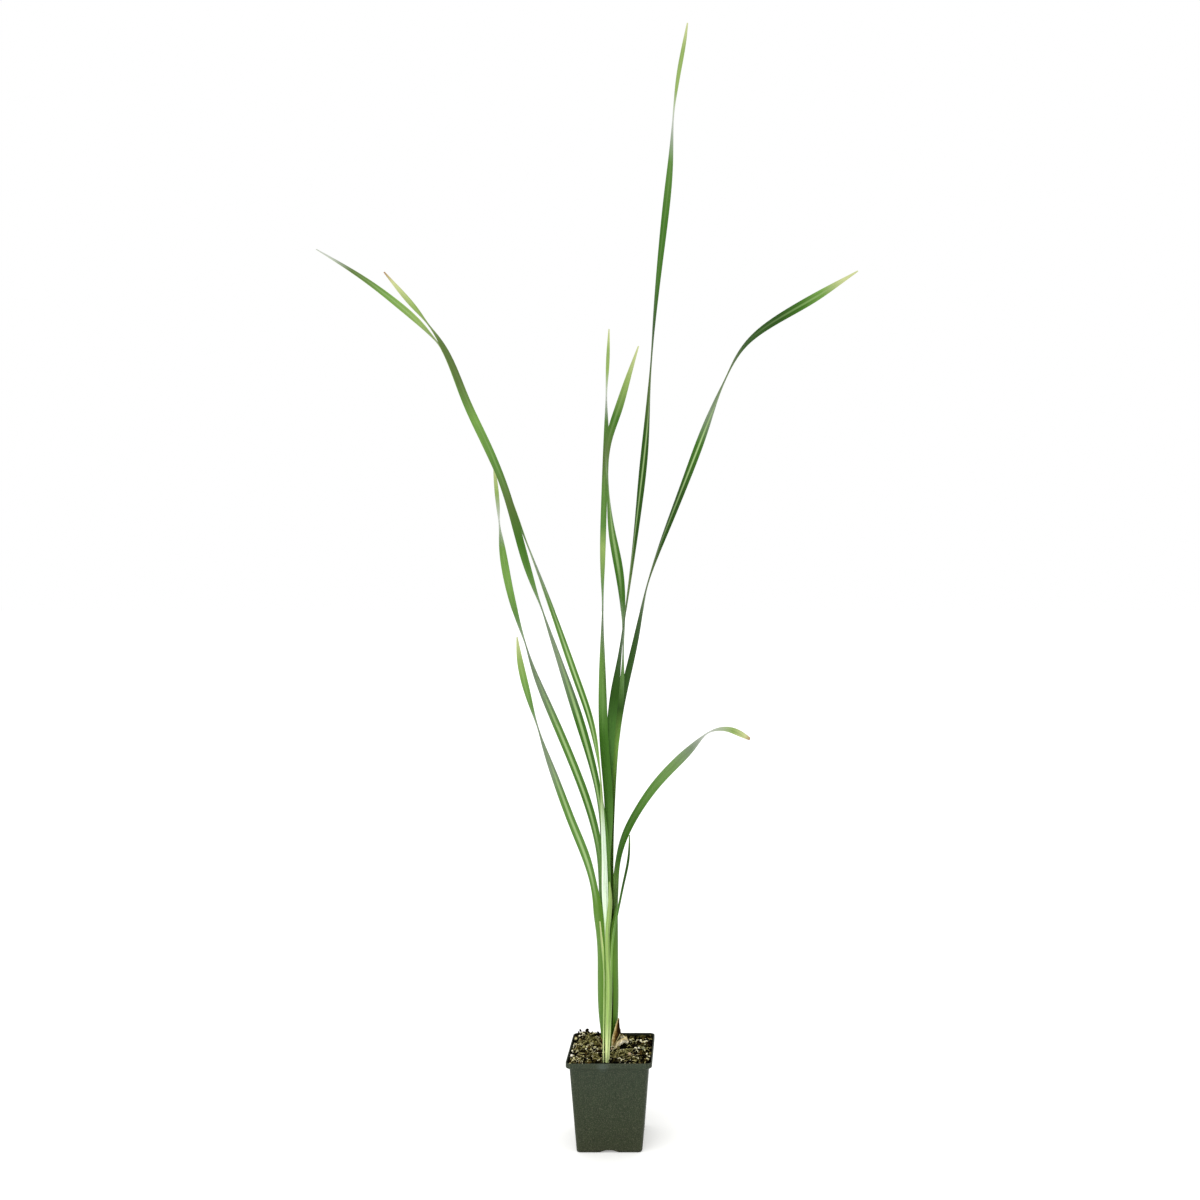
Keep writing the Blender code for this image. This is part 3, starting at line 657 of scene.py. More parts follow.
def tuft_form(seed):
    """Points and triangles of one moss tuft about 1 across: a star of small pointed leaves."""
    chooser = np.random.default_rng(seed)
    points, faces = [], []
    for i in range(11):
        turn, rise = chooser.uniform(0, math.tau), chooser.uniform(0.15, 1.3)
        out = np.array([math.cos(turn) * math.cos(rise), math.sin(turn) * math.cos(rise), math.sin(rise)])
        side = np.array([-math.sin(turn), math.cos(turn), 0.0]) * 0.11
        root = np.array([0.0, 0.0, -0.12])
        start = len(points)
        back = root + out * 0.28 + np.array([0, 0, 0.10])
        points += [root + side, root - side, back, out * chooser.uniform(0.4, 0.62)]
        for a, b, c in ((0, 1, 2), (0, 3, 1), (1, 3, 2), (0, 2, 3)):
            faces.append((start + a, start + b, start + c))
    return np.array(points), np.array(faces)


chooser = np.random.default_rng(15)
moss_place = []
for x, y, radius, height in HUMMOCKS:
    for _ in range(round(radius**2 * 4.2e6)):
        reach, turn = radius * 1.15 * math.sqrt(chooser.uniform()), chooser.uniform(0, math.tau)
        u, v = x + reach * math.cos(turn), y + reach * math.sin(turn)
        moss_place.append((u, v, ground(u, v) - 0.0009 + chooser.uniform(-0.0003, 0.0004)))
MOSS_COUNT = len(moss_place)
moss = scattered(
    "mix_moss",
    [tuft_form(seed) for seed in range(20)],
    moss_place,
    chooser.uniform(0.0018, 0.0032, MOSS_COUNT),
    np.column_stack([chooser.uniform(0, math.tau, MOSS_COUNT), chooser.normal(0, 0.3, (MOSS_COUNT, 2))]),
    chooser.uniform(0, 1, MOSS_COUNT) ** 0.9,
    loose_grain(
        "cushion_moss",
        ["#171405", "#3a3718", "#66612f", "#8f8a4e", "#b5ae72", "#dcd59c"],
        0.9,
        0.35,
        1200.0,
    ),
    30,
)
set_piece(moss, "root")

# Perlite and pebbles. A few blown white crumbs, and three larger stones, pinkish, grey green and buff,
# lying on the mix: x, y, size and tone.
PEBBLES = [
    (0.0288, 0.0010, 0.0026, 0.05),
    (-0.0400, -0.0205, 0.0034, 0.05),
    (-0.0335, -0.0240, 0.0016, 0.30),
    (-0.0120, -0.0330, 0.0015, 0.30),
    (0.0150, -0.0300, 0.0016, 0.05),
    (0.0200, -0.0170, 0.0036, 0.55),
    (0.0338, 0.0012, 0.0046, 0.80),
    (0.0004, -0.0002, 0.0026, 0.55),
]
chooser = np.random.default_rng(13)
pebbles = scattered(
    "mix_perlite",
    [stone_form(seed, 0.8, 0.85, 3) for seed in range(60, 64)],
    [(x, y, ground(x, y) + 0.0008) for x, y, _, _ in PEBBLES],
    [size for _, _, size, _ in PEBBLES],
    chooser.uniform(0, math.tau, (len(PEBBLES), 3)),
    [tone for _, _, _, tone in PEBBLES],
    loose_grain("expanded_perlite", ["#f0eadb", "#d9d3c2", "#b8a283", "#87896a"], 0.9, 0.12, 2500.0),
    60,
)
set_piece(pebbles, "root")

# Cattail leaves. Each is one long strap that starts as a sheath rolled round its shoot and leaves it
# as a thick, spongy blade, channelled on its inner face, which twists by a half turn or more to its tip.
REAR_SHOOT = [
    (-0.0035, 0.0180, 0.062, 0.66),
    (-0.0035, 0.0180, 0.094, 0.66),
    (-0.0036, 0.0180, 0.106, 0.74),
    (-0.0038, 0.0180, 0.118, 0.85),
    (-0.0041, 0.0180, 0.140, 0.95),
    (-0.0048, 0.0180, 0.190, 0.99),
    (-0.0053, 0.0180, 0.230, 1.00),
    (-0.0050, 0.0180, 0.300, 1.00),
    (-0.0050, 0.0180, 0.380, 1.00),
]
FRONT_SHOOT = [
    (-0.0034, -0.0305, 0.066, 0.66),
    (-0.0034, -0.0325, 0.092, 0.68),
    (-0.0030, -0.0290, 0.118, 0.80),
    (-0.0024, -0.0205, 0.155, 0.95),
    (-0.0034, -0.0120, 0.195, 1.00),
    (-0.0052, -0.0045, 0.235, 1.00),
    (-0.0060, -0.0010, 0.262, 1.00),
]
BLADE_THICKNESS = 0.0017
REAR_SHEATH_THICKNESS = 0.0006
FRONT_SHEATH_THICKNESS = 0.0005
TIP_THICKNESS = 0.0006
BLADE_CUP = 16
COLLAR_CUP = 45
CHANNEL = 0.42
ROW_STEP = 0.004
ACROSS_STEPS = 16

# The greens of a leaf: its sheath, with a lighter green inside an old and a young one that is painted
# light against the shade there (the young one is also pale inside), and a sheath's green with its shade
# painted in; its blade from deep to bright; the young yellow green; the painted sheen down the channel;
# the light shoot's own, its foot's, and a painted milky highlight where its blade starts; a bent leaf's
# sage, and the painted grey and silver sheen where a leaf is seen edge on; and its tip, from olive to
# straw and scorched at the very end.
SHEATH = "#547e23"
INSIDE_LIT = "#6c953e"
YOUNG_PALE_INSIDE_LIT = "#dbe8b8"
SHADED = "#3f6606"
DEEP = "#244806"
BLADE = "#3a6619"
FRESH = "#557d35"
BRIGHT = "#6c9343"
LIME = "#88a258"
CHANNEL_SHEEN = "#9ebb7d"
SPRING = "#90ae5d"
SHOOT_FOOT = "#d0df9a"
MILKY_HIGHLIGHT = "#daecd2"
SAGE = "#6c8b50"
EDGE_ON_SHEEN = "#78896d"
SILVER_SHEEN = "#b4b9af"
OLIVE = "#526832"
TIP = "#c0c68c"
SCORCH = "#a17b59"

# Each leaf has a sheath: the shoot it wraps, its radius at full girth, the side its back faces in degrees
# from +X, its width there, and where it ends. Its blade is a list of stations: x, y, z, width, and its
# turn about its own line in degrees, where 0 and 180 show a face to the front. Its greens are (share of
# its length, green, how strongly the painted sheen down its middle shows); along a leaf they are partly
# its own colour and partly painted light and shade where it turns to and from the light. Some also name
# how far that sheen reaches across, or the green inside the sheath with its painted light.
LEAVES = {
    "leaf_left_low": {
        "shoot": "rear", "radius": 0.0120, "back": 225, "sheath_width": 0.0260, "sheath_top": 0.205,
        "blade": [
            (-0.0165, 0.0060, 0.2500, 0.0100, -20),
            (-0.0263, 0.0020, 0.2949, 0.0090, -8),
            (-0.0405, -0.0015, 0.3325, 0.0088, 10),
            (-0.0580, -0.0060, 0.3810, 0.0086, 40),
            (-0.0725, -0.0110, 0.4240, 0.0082, 82),
            (-0.0818, -0.0150, 0.4559, 0.0080, 125),
            (-0.0900, -0.0195, 0.4880, 0.0076, 168),
            (-0.0943, -0.0220, 0.5100, 0.0058, 190),
            (-0.0964, -0.0260, 0.5328, 0.0014, 200),
        ],
        "greens": [
            (0.00, SHEATH, 0.0), (0.38, SHEATH, 0.1), (0.46, FRESH, 0.85), (0.63, FRESH, 0.8),
            (0.70, EDGE_ON_SHEEN, 0.4), (0.80, EDGE_ON_SHEEN, 0.0), (0.84, FRESH, 0.1), (0.90, BRIGHT, 0.2),
            (0.95, LIME, 0.1), (1.00, TIP, 0.0),
        ],
    },
    "leaf_right_low": {
        "shoot": "rear", "radius": 0.01065, "back": 20, "sheath_width": 0.0300, "sheath_top": 0.225,
        "blade": [
            (0.0034, 0.0265, 0.2680, 0.0100, -45),
            (0.0111, 0.0290, 0.3110, 0.0092, -40),
            (0.0270, 0.0310, 0.3430, 0.0094, -30),
            (0.0500, 0.0350, 0.3745, 0.0100, -15),
            (0.0720, 0.0390, 0.3970, 0.0102, 5),
            (0.0880, 0.0430, 0.4125, 0.0098, 45),
            (0.1051, 0.0480, 0.4262, 0.0092, 90),
            (0.1215, 0.0520, 0.4290, 0.0088, 118),
            (0.1385, 0.0570, 0.4233, 0.0080, 140),
            (0.1497, 0.0600, 0.4168, 0.0034, 150),
        ],
        "greens": [
            (0.00, SHADED, 0.0), (0.28, SHEATH, 0.0), (0.37, SHADED, 0.0), (0.48, BLADE, 0.0),
            (0.60, BLADE, 0.1), (0.70, FRESH, 0.1), (0.77, SAGE, 0.0), (0.83, EDGE_ON_SHEEN, 0.0),
            (0.89, SILVER_SHEEN, 0.0), (0.95, LIME, 0.0), (0.985, TIP, 0.0), (1.00, SCORCH, 0.0),
        ],
    },
    "leaf_left_middle": {
        "shoot": "rear", "radius": 0.0093, "back": 240, "sheath_width": 0.0180, "sheath_top": 0.245,
        "blade": [
            (-0.0125, 0.0095, 0.2931, 0.0100, -30),
            (-0.0208, 0.0100, 0.3358, 0.0092, -22),
            (-0.0396, 0.0140, 0.3889, 0.0088, 0),
            (-0.0674, 0.0200, 0.4527, 0.0087, 32),
            (-0.0855, 0.0240, 0.4956, 0.0086, 68),
            (-0.0968, 0.0270, 0.5290, 0.0086, 105),
            (-0.1100, 0.0310, 0.5713, 0.0086, 152),
            (-0.1183, 0.0345, 0.6070, 0.0084, 185),
            (-0.1248, 0.0390, 0.6479, 0.0066, 262),
            (-0.1282, 0.0430, 0.6800, 0.0054, 330),
            (-0.1302, 0.0450, 0.6980, 0.0046, 345),
            (-0.1330, 0.0475, 0.7220, 0.0014, 360),
        ],
        "greens": [
            (0.00, SHEATH, 0.0), (0.33, FRESH, 0.1), (0.42, BLADE, 0.8), (0.56, FRESH, 0.9),
            (0.62, EDGE_ON_SHEEN, 0.4), (0.70, EDGE_ON_SHEEN, 0.0), (0.75, FRESH, 0.0), (0.80, BRIGHT, 0.1),
            (0.86, BRIGHT, 0.1), (0.905, SILVER_SHEEN, 0.0), (0.95, LIME, 0.0), (1.00, TIP, 0.0),
        ],
    },
    "leaf_left_high": {
        "shoot": "rear", "radius": 0.00795, "back": 240, "sheath_width": 0.0150, "sheath_top": 0.285,
        "blade": [
            (-0.0118, 0.0095, 0.3450, 0.0100, -40),
            (-0.0316, 0.0060, 0.4327, 0.0096, 0),
            (-0.0519, 0.0020, 0.4969, 0.0094, 52),
            (-0.0710, -0.0025, 0.5545, 0.0090, 90),
            (-0.0900, -0.0070, 0.6120, 0.0085, 160),
            (-0.1095, -0.0125, 0.6830, 0.0081, 200),
            (-0.1313, -0.0170, 0.7389, 0.0078, 205),
            (-0.1499, -0.0210, 0.7801, 0.0072, 205),
            (-0.1711, -0.0270, 0.8311, 0.0064, 215),
            (-0.1850, -0.0300, 0.8532, 0.0058, 262),
            (-0.2085, -0.0375, 0.8820, 0.0056, 345),
            (-0.2298, -0.0450, 0.9072, 0.0014, 360),
        ],
        "greens": [
            (0.00, SHEATH, 0.0), (0.28, FRESH, 0.5), (0.35, BLADE, 0.7), (0.43, BLADE, 0.9),
            (0.50, EDGE_ON_SHEEN, 0.4), (0.555, EDGE_ON_SHEEN, 0.0), (0.60, FRESH, 0.0), (0.65, BLADE, 0.0),
            (0.70, OLIVE, 0.0), (0.75, FRESH, 0.2), (0.80, BRIGHT, 0.1), (0.85, OLIVE, 0.1),
            (0.90, OLIVE, 0.0),
            (0.95, LIME, 0.0), (0.985, TIP, 0.0), (1.00, SCORCH, 0.0),
        ],
    },
    "leaf_right_high": {
        "shoot": "rear", "radius": 0.0066, "back": 60, "sheath_width": 0.0130, "sheath_top": 0.330,
        "channel": 0.30,
        "blade": [
            (0.0006, 0.0268, 0.4093, 0.0100, 10),
            (0.0085, 0.0295, 0.4600, 0.0098, 38),
            (0.0239, 0.0315, 0.5279, 0.0096, 55),
            (0.0352, 0.0340, 0.5820, 0.0092, 88),
            (0.0616, 0.0390, 0.6588, 0.0092, 135),
            (0.0869, 0.0470, 0.7254, 0.0092, 170),
            (0.1065, 0.0540, 0.7780, 0.0088, 230),
            (0.1219, 0.0600, 0.8158, 0.0086, 270),
            (0.1444, 0.0670, 0.8553, 0.0088, 305),
            (0.1840, 0.0740, 0.8880, 0.0096, 350),
            (0.2200, 0.0785, 0.9100, 0.0098, 365),
            (0.2460, 0.0820, 0.9265, 0.0066, 380),
            (0.2732, 0.0860, 0.9441, 0.0014, 385),
        ],
        "greens": [
            (0.00, SHEATH, 0.0), (0.22, FRESH, 0.0), (0.30, FRESH, 0.1), (0.34, BLADE, 0.0),
            (0.40, DEEP, 0.0), (0.45, DEEP, 0.0),
            (0.50, DEEP, 0.0), (0.55, OLIVE, 0.0), (0.59, DEEP, 0.3), (0.65, DEEP, 0.6),
            (0.71, BLADE, 0.9), (0.75, EDGE_ON_SHEEN, 0.6), (0.80, OLIVE, 0.0), (0.84, DEEP, 0.0),
            (0.89, DEEP, 0.2), (0.92, BLADE, 0.3), (0.95, BRIGHT, 0.4), (0.98, TIP, 0.2),
            (1.00, TIP, 0.0),
        ],
    },
    "leaf_centre_right": {
        "shoot": "rear", "radius": 0.00525, "back": 75, "sheath_width": 0.0110, "sheath_top": 0.350,
        "blade": [
            (0.0015, 0.0213, 0.4150, 0.0098, 5),
            (0.0070, 0.0210, 0.4560, 0.0095, 38),
            (0.0108, 0.0212, 0.5060, 0.0094, 82),
            (0.0105, 0.0200, 0.5650, 0.0094, 128),
            (0.0067, 0.0180, 0.6035, 0.0094, 170),
            (-0.0005, 0.0150, 0.6450, 0.0092, 222),
            (-0.0047, 0.0120, 0.6950, 0.0092, 272),
            (-0.0032, 0.0085, 0.7421, 0.0092, 322),
            (0.0067, 0.0045, 0.7735, 0.0088, 352),
            (0.0170, -0.0020, 0.8045, 0.0060, 372),
            (0.0292, -0.0110, 0.8386, 0.0014, 385),
        ],
        "greens": [
            (0.00, SHEATH, 0.0), (0.25, BRIGHT, 0.0), (0.32, FRESH, 0.0), (0.41, FRESH, 0.0),
            (0.45, DEEP, 0.0), (0.50, DEEP, 0.0), (0.55, FRESH, 0.0),
            (0.60, EDGE_ON_SHEEN, 0.2), (0.65, BLADE, 0.1), (0.70, BLADE, 0.6), (0.75, FRESH, 0.6),
            (0.80, FRESH, 0.5), (0.85, OLIVE, 0.0), (0.90, BLADE, 0.2), (0.95, LIME, 0.0),
            (1.00, TIP, 0.0),
        ],
    },
    "leaf_tallest": {
        "shoot": "rear", "radius": 0.0039, "back": 85, "sheath_width": 0.0095, "sheath_top": 0.345,
        "channel": 0.30, "inside_lit": "#48732f",
        "blade": [
            (-0.0032, 0.0175, 0.4102, 0.0098, -5),
            (0.0010, 0.0148, 0.4600, 0.0097, 10),
            (0.0057, 0.0112, 0.4965, 0.0095, 55),
            (0.0117, 0.0070, 0.5393, 0.0092, 88),
            (0.0205, 0.0040, 0.6030, 0.0090, 112),
            (0.0308, 0.0030, 0.6882, 0.0082, 155),
            (0.0370, 0.0040, 0.7522, 0.0076, 218),
            (0.0415, 0.0060, 0.8200, 0.0074, 268),
            (0.0473, 0.0090, 0.8920, 0.0074, 306),
            (0.0572, 0.0155, 0.9900, 0.0078, 356),
            (0.0622, 0.0200, 1.0450, 0.0072, 405),
            (0.0650, 0.0245, 1.0930, 0.0062, 450),
            (0.0712, 0.0305, 1.1460, 0.0052, 510),
            (0.0774, 0.0350, 1.1820, 0.0038, 530),
            (0.0804, 0.0380, 1.2020, 0.0014, 540),
        ],
        "greens": [
            (0.00, SHEATH, 0.0), (0.20, FRESH, 0.1), (0.26, FRESH, 0.0), (0.30, BLADE, 0.0),
            (0.34, DEEP, 0.0), (0.41, DEEP, 0.0),
            (0.46, OLIVE, 0.4), (0.50, DEEP, 0.5), (0.60, DEEP, 0.8), (0.645, OLIVE, 0.2),
            (0.70, DEEP, 0.0), (0.75, BLADE, 0.1), (0.80, BLADE, 0.1), (0.86, FRESH, 0.1),
            (0.90, SILVER_SHEEN, 0.0), (0.93, LIME, 0.0), (0.97, LIME, 0.0), (1.00, TIP, 0.0),
        ],
    },
    "leaf_centre": {
        "shoot": "rear", "radius": 0.00255, "back": 280, "sheath_width": 0.0085, "sheath_top": 0.290,
        "blade": [
            (-0.0041, 0.0125, 0.3570, 0.0097, 0),
            (-0.0083, 0.0120, 0.4106, 0.0097, 0),
            (-0.0103, 0.0130, 0.4650, 0.0095, 25),
            (-0.0107, 0.0160, 0.5280, 0.0088, 68),
            (-0.0108, 0.0190, 0.5713, 0.0082, 100),
            (-0.0108, 0.0220, 0.6253, 0.0076, 145),
            (-0.0093, 0.0260, 0.6904, 0.0068, 165),
            (-0.0078, 0.0300, 0.7560, 0.0063, 222),
            (-0.0080, 0.0335, 0.7930, 0.0058, 270),
            (-0.0068, 0.0380, 0.8330, 0.0048, 325),
            (-0.0057, 0.0420, 0.8684, 0.0014, 340),
        ],
        "greens": [
            (0.00, SHEATH, 0.0), (0.24, BRIGHT, 0.2), (0.30, FRESH, 0.0), (0.38, BLADE, 0.0),
            (0.45, BLADE, 0.0), (0.50, FRESH, 0.1),
            (0.55, BRIGHT, 0.1), (0.60, EDGE_ON_SHEEN, 0.0), (0.65, FRESH, 0.0), (0.70, LIME, 0.0),
            (0.73, FRESH, 0.0), (0.77, FRESH, 0.1), (0.82, OLIVE, 0.1), (0.87, FRESH, 0.0),
            (0.905, SILVER_SHEEN, 0.0), (0.94, LIME, 0.0), (0.97, LIME, 0.0), (1.00, TIP, 0.0),
        ],
    },
    "leaf_left_far": {
        "shoot": "front", "radius": 0.0021, "back": 250, "sheath_width": 0.0066, "sheath_top": 0.225,
        "blade": [
            (-0.0068, -0.0010, 0.2790, 0.0078, 42),
            (-0.0087, 0.0000, 0.3272, 0.0078, 62),
            (-0.0120, 0.0010, 0.3850, 0.0076, 98),
            (-0.0225, 0.0020, 0.4437, 0.0075, 160),
            (-0.0370, 0.0030, 0.4860, 0.0075, 188),
            (-0.0600, 0.0050, 0.5500, 0.0074, 228),
            (-0.0858, 0.0080, 0.6185, 0.0074, 268),
            (-0.1098, 0.0105, 0.6783, 0.0074, 318),
            (-0.1390, 0.0140, 0.7430, 0.0074, 340),
            (-0.1590, 0.0170, 0.7864, 0.0070, 370),
            (-0.1838, 0.0210, 0.8410, 0.0068, 440),
            (-0.2314, 0.0280, 0.8902, 0.0074, 535),
            (-0.2660, 0.0340, 0.9170, 0.0058, 548),
            (-0.3000, 0.0400, 0.9397, 0.0034, 560),
            (-0.3280, 0.0460, 0.9570, 0.0012, 568),
        ],
        "greens": [
            (0.00, SHOOT_FOOT, 0.0), (0.05, SHOOT_FOOT, 0.0), (0.08, SPRING, 0.2), (0.14, SPRING, 0.3),
            (0.18, MILKY_HIGHLIGHT, 0.0), (0.26, MILKY_HIGHLIGHT, 0.0), (0.30, LIME, 0.0), (0.34, BRIGHT, 0.4),
            (0.39, BLADE, 0.9), (0.46, FRESH, 0.9), (0.51, FRESH, 0.5), (0.55, EDGE_ON_SHEEN, 0.0),
            (0.60, BLADE, 0.1), (0.66, OLIVE, 0.0), (0.71, BRIGHT, 0.4), (0.76, FRESH, 0.2),
            (0.81, OLIVE, 0.0), (0.85, LIME, 0.2), (0.90, BRIGHT, 0.3), (0.95, OLIVE, 0.1),
            (0.985, SILVER_SHEEN, 0.0),
            (1.00, SILVER_SHEEN, 0.0),
        ],
    },
    "leaf_thin": {
        "shoot": "front", "radius": 0.0047, "back": 350, "sheath_width": 0.0060, "sheath_top": 0.160,
        "blade": [
            (0.0010, -0.0150, 0.1900, 0.0030, 60),
            (0.0031, -0.0120, 0.2200, 0.0024, 30),
            (0.0085, -0.0105, 0.2490, 0.0024, 20),
            (0.0141, -0.0110, 0.2762, 0.0026, 10),
            (0.0184, -0.0115, 0.2975, 0.0026, 0),
            (0.0198, -0.0120, 0.3242, 0.0012, 0),
        ],
        "greens": [
            (0.00, SHOOT_FOOT, 0.0), (0.16, SHOOT_FOOT, 0.0), (0.26, SPRING, 0.0), (0.34, BRIGHT, 0.0),
            (0.52, BRIGHT, 0.0), (0.62, FRESH, 0.0), (0.72, BLADE, 0.0), (0.80, DEEP, 0.0),
            (0.93, DEEP, 0.0), (1.00, FRESH, 0.0),
        ],
    },
    "leaf_bud_right": {
        "shoot": "front", "radius": 0.0036, "back": 300, "sheath_width": 0.0054, "sheath_top": 0.225,
        "blade": [
            (-0.0008, -0.0070, 0.2541, 0.0042, 10),
            (-0.0017, -0.0065, 0.2737, 0.0012, 10),
        ],
        "greens": [
            (0.00, SHOOT_FOOT, 0.0), (0.20, SHOOT_FOOT, 0.0), (0.32, SPRING, 0.2), (0.80, SPRING, 0.2),
            (0.92, LIME, 0.3), (1.00, SPRING, 0.0),
        ],
    },
    "leaf_bud_left": {
        "shoot": "front", "radius": 0.0047, "back": 190, "sheath_width": 0.0060, "sheath_top": 0.190,
        "blade": [
            (-0.0098, -0.0095, 0.2130, 0.0030, -40),
            (-0.0117, -0.0075, 0.2322, 0.0014, -40),
        ],
        "greens": [
            (0.00, SHOOT_FOOT, 0.0), (0.24, SHOOT_FOOT, 0.0), (0.38, SPRING, 0.1), (0.80, SPRING, 0.2),
            (1.00, TIP, 0.0),
        ],
    },
}


def smooth_through(stations, step):
    """Rows at even steps along one smooth curve through the stations, with all their other values."""
    values = np.array(stations, float)
    steps = np.linalg.norm(np.diff(values[:, :3], axis=0), axis=1)
    knots = np.concatenate([[0.0], np.cumsum(steps)])
    size = len(knots)
    system = np.eye(size)
    right_side = np.zeros_like(values)
    slopes = np.diff(values, axis=0) / steps[:, None]
    for i in range(1, size - 1):
        system[i, i - 1 : i + 2] = steps[i - 1], 2 * (steps[i - 1] + steps[i]), steps[i]
        right_side[i] = 6 * (slopes[i] - slopes[i - 1])
    bend = np.linalg.solve(system, right_side)
    rows = []
    for t in np.linspace(0.0, knots[-1], round(knots[-1] / step) + 1):
        i = min(int(np.searchsorted(knots, t, side="right")) - 1, size - 2)
        step, after, before = steps[i], t - knots[i], knots[i + 1] - t
        rows.append(
            bend[i] * before**3 / (6 * step)
            + bend[i + 1] * after**3 / (6 * step)
            + (values[i] / step - bend[i] * step / 6) * before
            + (values[i + 1] / step - bend[i + 1] * step / 6) * after
        )
    return np.array(rows), knots[-1]


def sheath_stations(leaf, thickness):
    """Stations of the arc that a leaf's foot makes round its shoot, from under the mix up."""
    line = np.array(REAR_SHOOT if leaf["shoot"] == "rear" else FRONT_SHOOT)
    back = math.radians(leaf["back"])
    behind = math.sin(back) > 0
    turn = leaf["back"] - (90 if behind else 270)
    foot, top = line[0, 2], leaf["sheath_top"]
    heights = [foot + share * (top - foot) for share in (0.0, 0.35, 0.7, 1.0)]
    if leaf["shoot"] == "rear":
        # The rear shoot is thinner at its foot, so its sheaths follow each of its lowest stations.
        heights = [*line[:4, 2], (line[3, 2] + top) / 2, top]
    stations = []
    for z in heights:
        x, y, girth = (np.interp(z, line[:, 2], line[:, k]) for k in (0, 1, 3))
        radius = leaf["radius"] * girth
        width = leaf["sheath_width"] * girth
        cup = math.degrees(width / radius) * (-1 if behind else 1)
        place = x + radius * math.cos(back), y + radius * math.sin(back), z
        stations.append((*place, width, turn, cup, thickness))
    return stations


def blade_stations(leaf, side):
    """Stations of the blade, cupped at its collar and thin at its tip."""
    last = len(leaf["blade"]) - 1
    stations = []
    for i, station in enumerate(leaf["blade"]):
        cup = side * (COLLAR_CUP if i == 0 else BLADE_CUP)
        stations.append((*station, cup, TIP_THICKNESS if i == last else BLADE_THICKNESS))
    return stations


def strap_mesh(name, stations, row_step, across_steps):
    """A leaf as a closed strap: at each row its section is an arc, thick in the middle and thin at the
    margins. It carries where each point lies along and across the leaf, for its material."""
    rows, length = smooth_through(stations, row_step)
    along = np.gradient(rows[:, :3], axis=0)
    places = np.linspace(-1.0, 1.0, across_steps + 1)
    body = 0.16 + 0.84 * (1 - np.abs(places) ** 2.2)
    # The inner face from one margin to the other, then the outer face back.
    section = [(p, b, 1) for p, b in zip(places, body)]
    section += [(p, b, -1) for p, b in zip(places[::-1], body[::-1])]
    points, across, face = [], [], []
    for row, direction in zip(rows, along):
        tangent = Vector(direction).normalized()
        level = Vector((0.0, 1.0, 0.0)).cross(tangent).normalized()
        deep = tangent.cross(level)
        turn = math.radians(row[4])
        sideways = level * math.cos(turn) + deep * math.sin(turn)
        normal = tangent.cross(sideways)
        width, cup, thick = max(float(row[3]), 0.0008), math.radians(row[5]), float(row[6])
        radius = width / cup if abs(cup) > 0.01 else 1e6
        for place, share, side in section:
            angle = place / 2 * width / radius
            out = normal * math.cos(angle) - sideways * math.sin(angle)
            middle = radius * (sideways * math.sin(angle) + normal * (1 - math.cos(angle)))
            hollow = math.copysign(1.0, cup) * side
            points.append(Vector(row[:3]) + middle + out * (side * thick / 2 * share))
            across.append(place)
            face.append(1.0 if hollow > 0 else 0.0)
    count = len(section)
    grid = [points[i : i + count] for i in range(0, len(points), count)]
    mesh = ring_mesh(name, grid)
    share = np.repeat(np.linspace(0.0, 1.0, len(rows)), count)
    for key, values in (
        ("along", share),
        ("across", across),
        ("hollow", face),
        ("along_mm", share * length * 1000),
        ("across_mm", np.array(across) * np.repeat(np.maximum(rows[:, 3], 0.0008), count) * 500),
    ):
        layer = mesh.attributes.new(key, "FLOAT", "POINT")
        layer.data.foreach_set("value", np.asarray(values, np.float32))
    bm = bmesh.new()
    bm.from_mesh(mesh)
    bmesh.ops.recalc_face_normals(bm, faces=bm.faces)
    bm.to_mesh(mesh)
    bm.free()
    return mesh


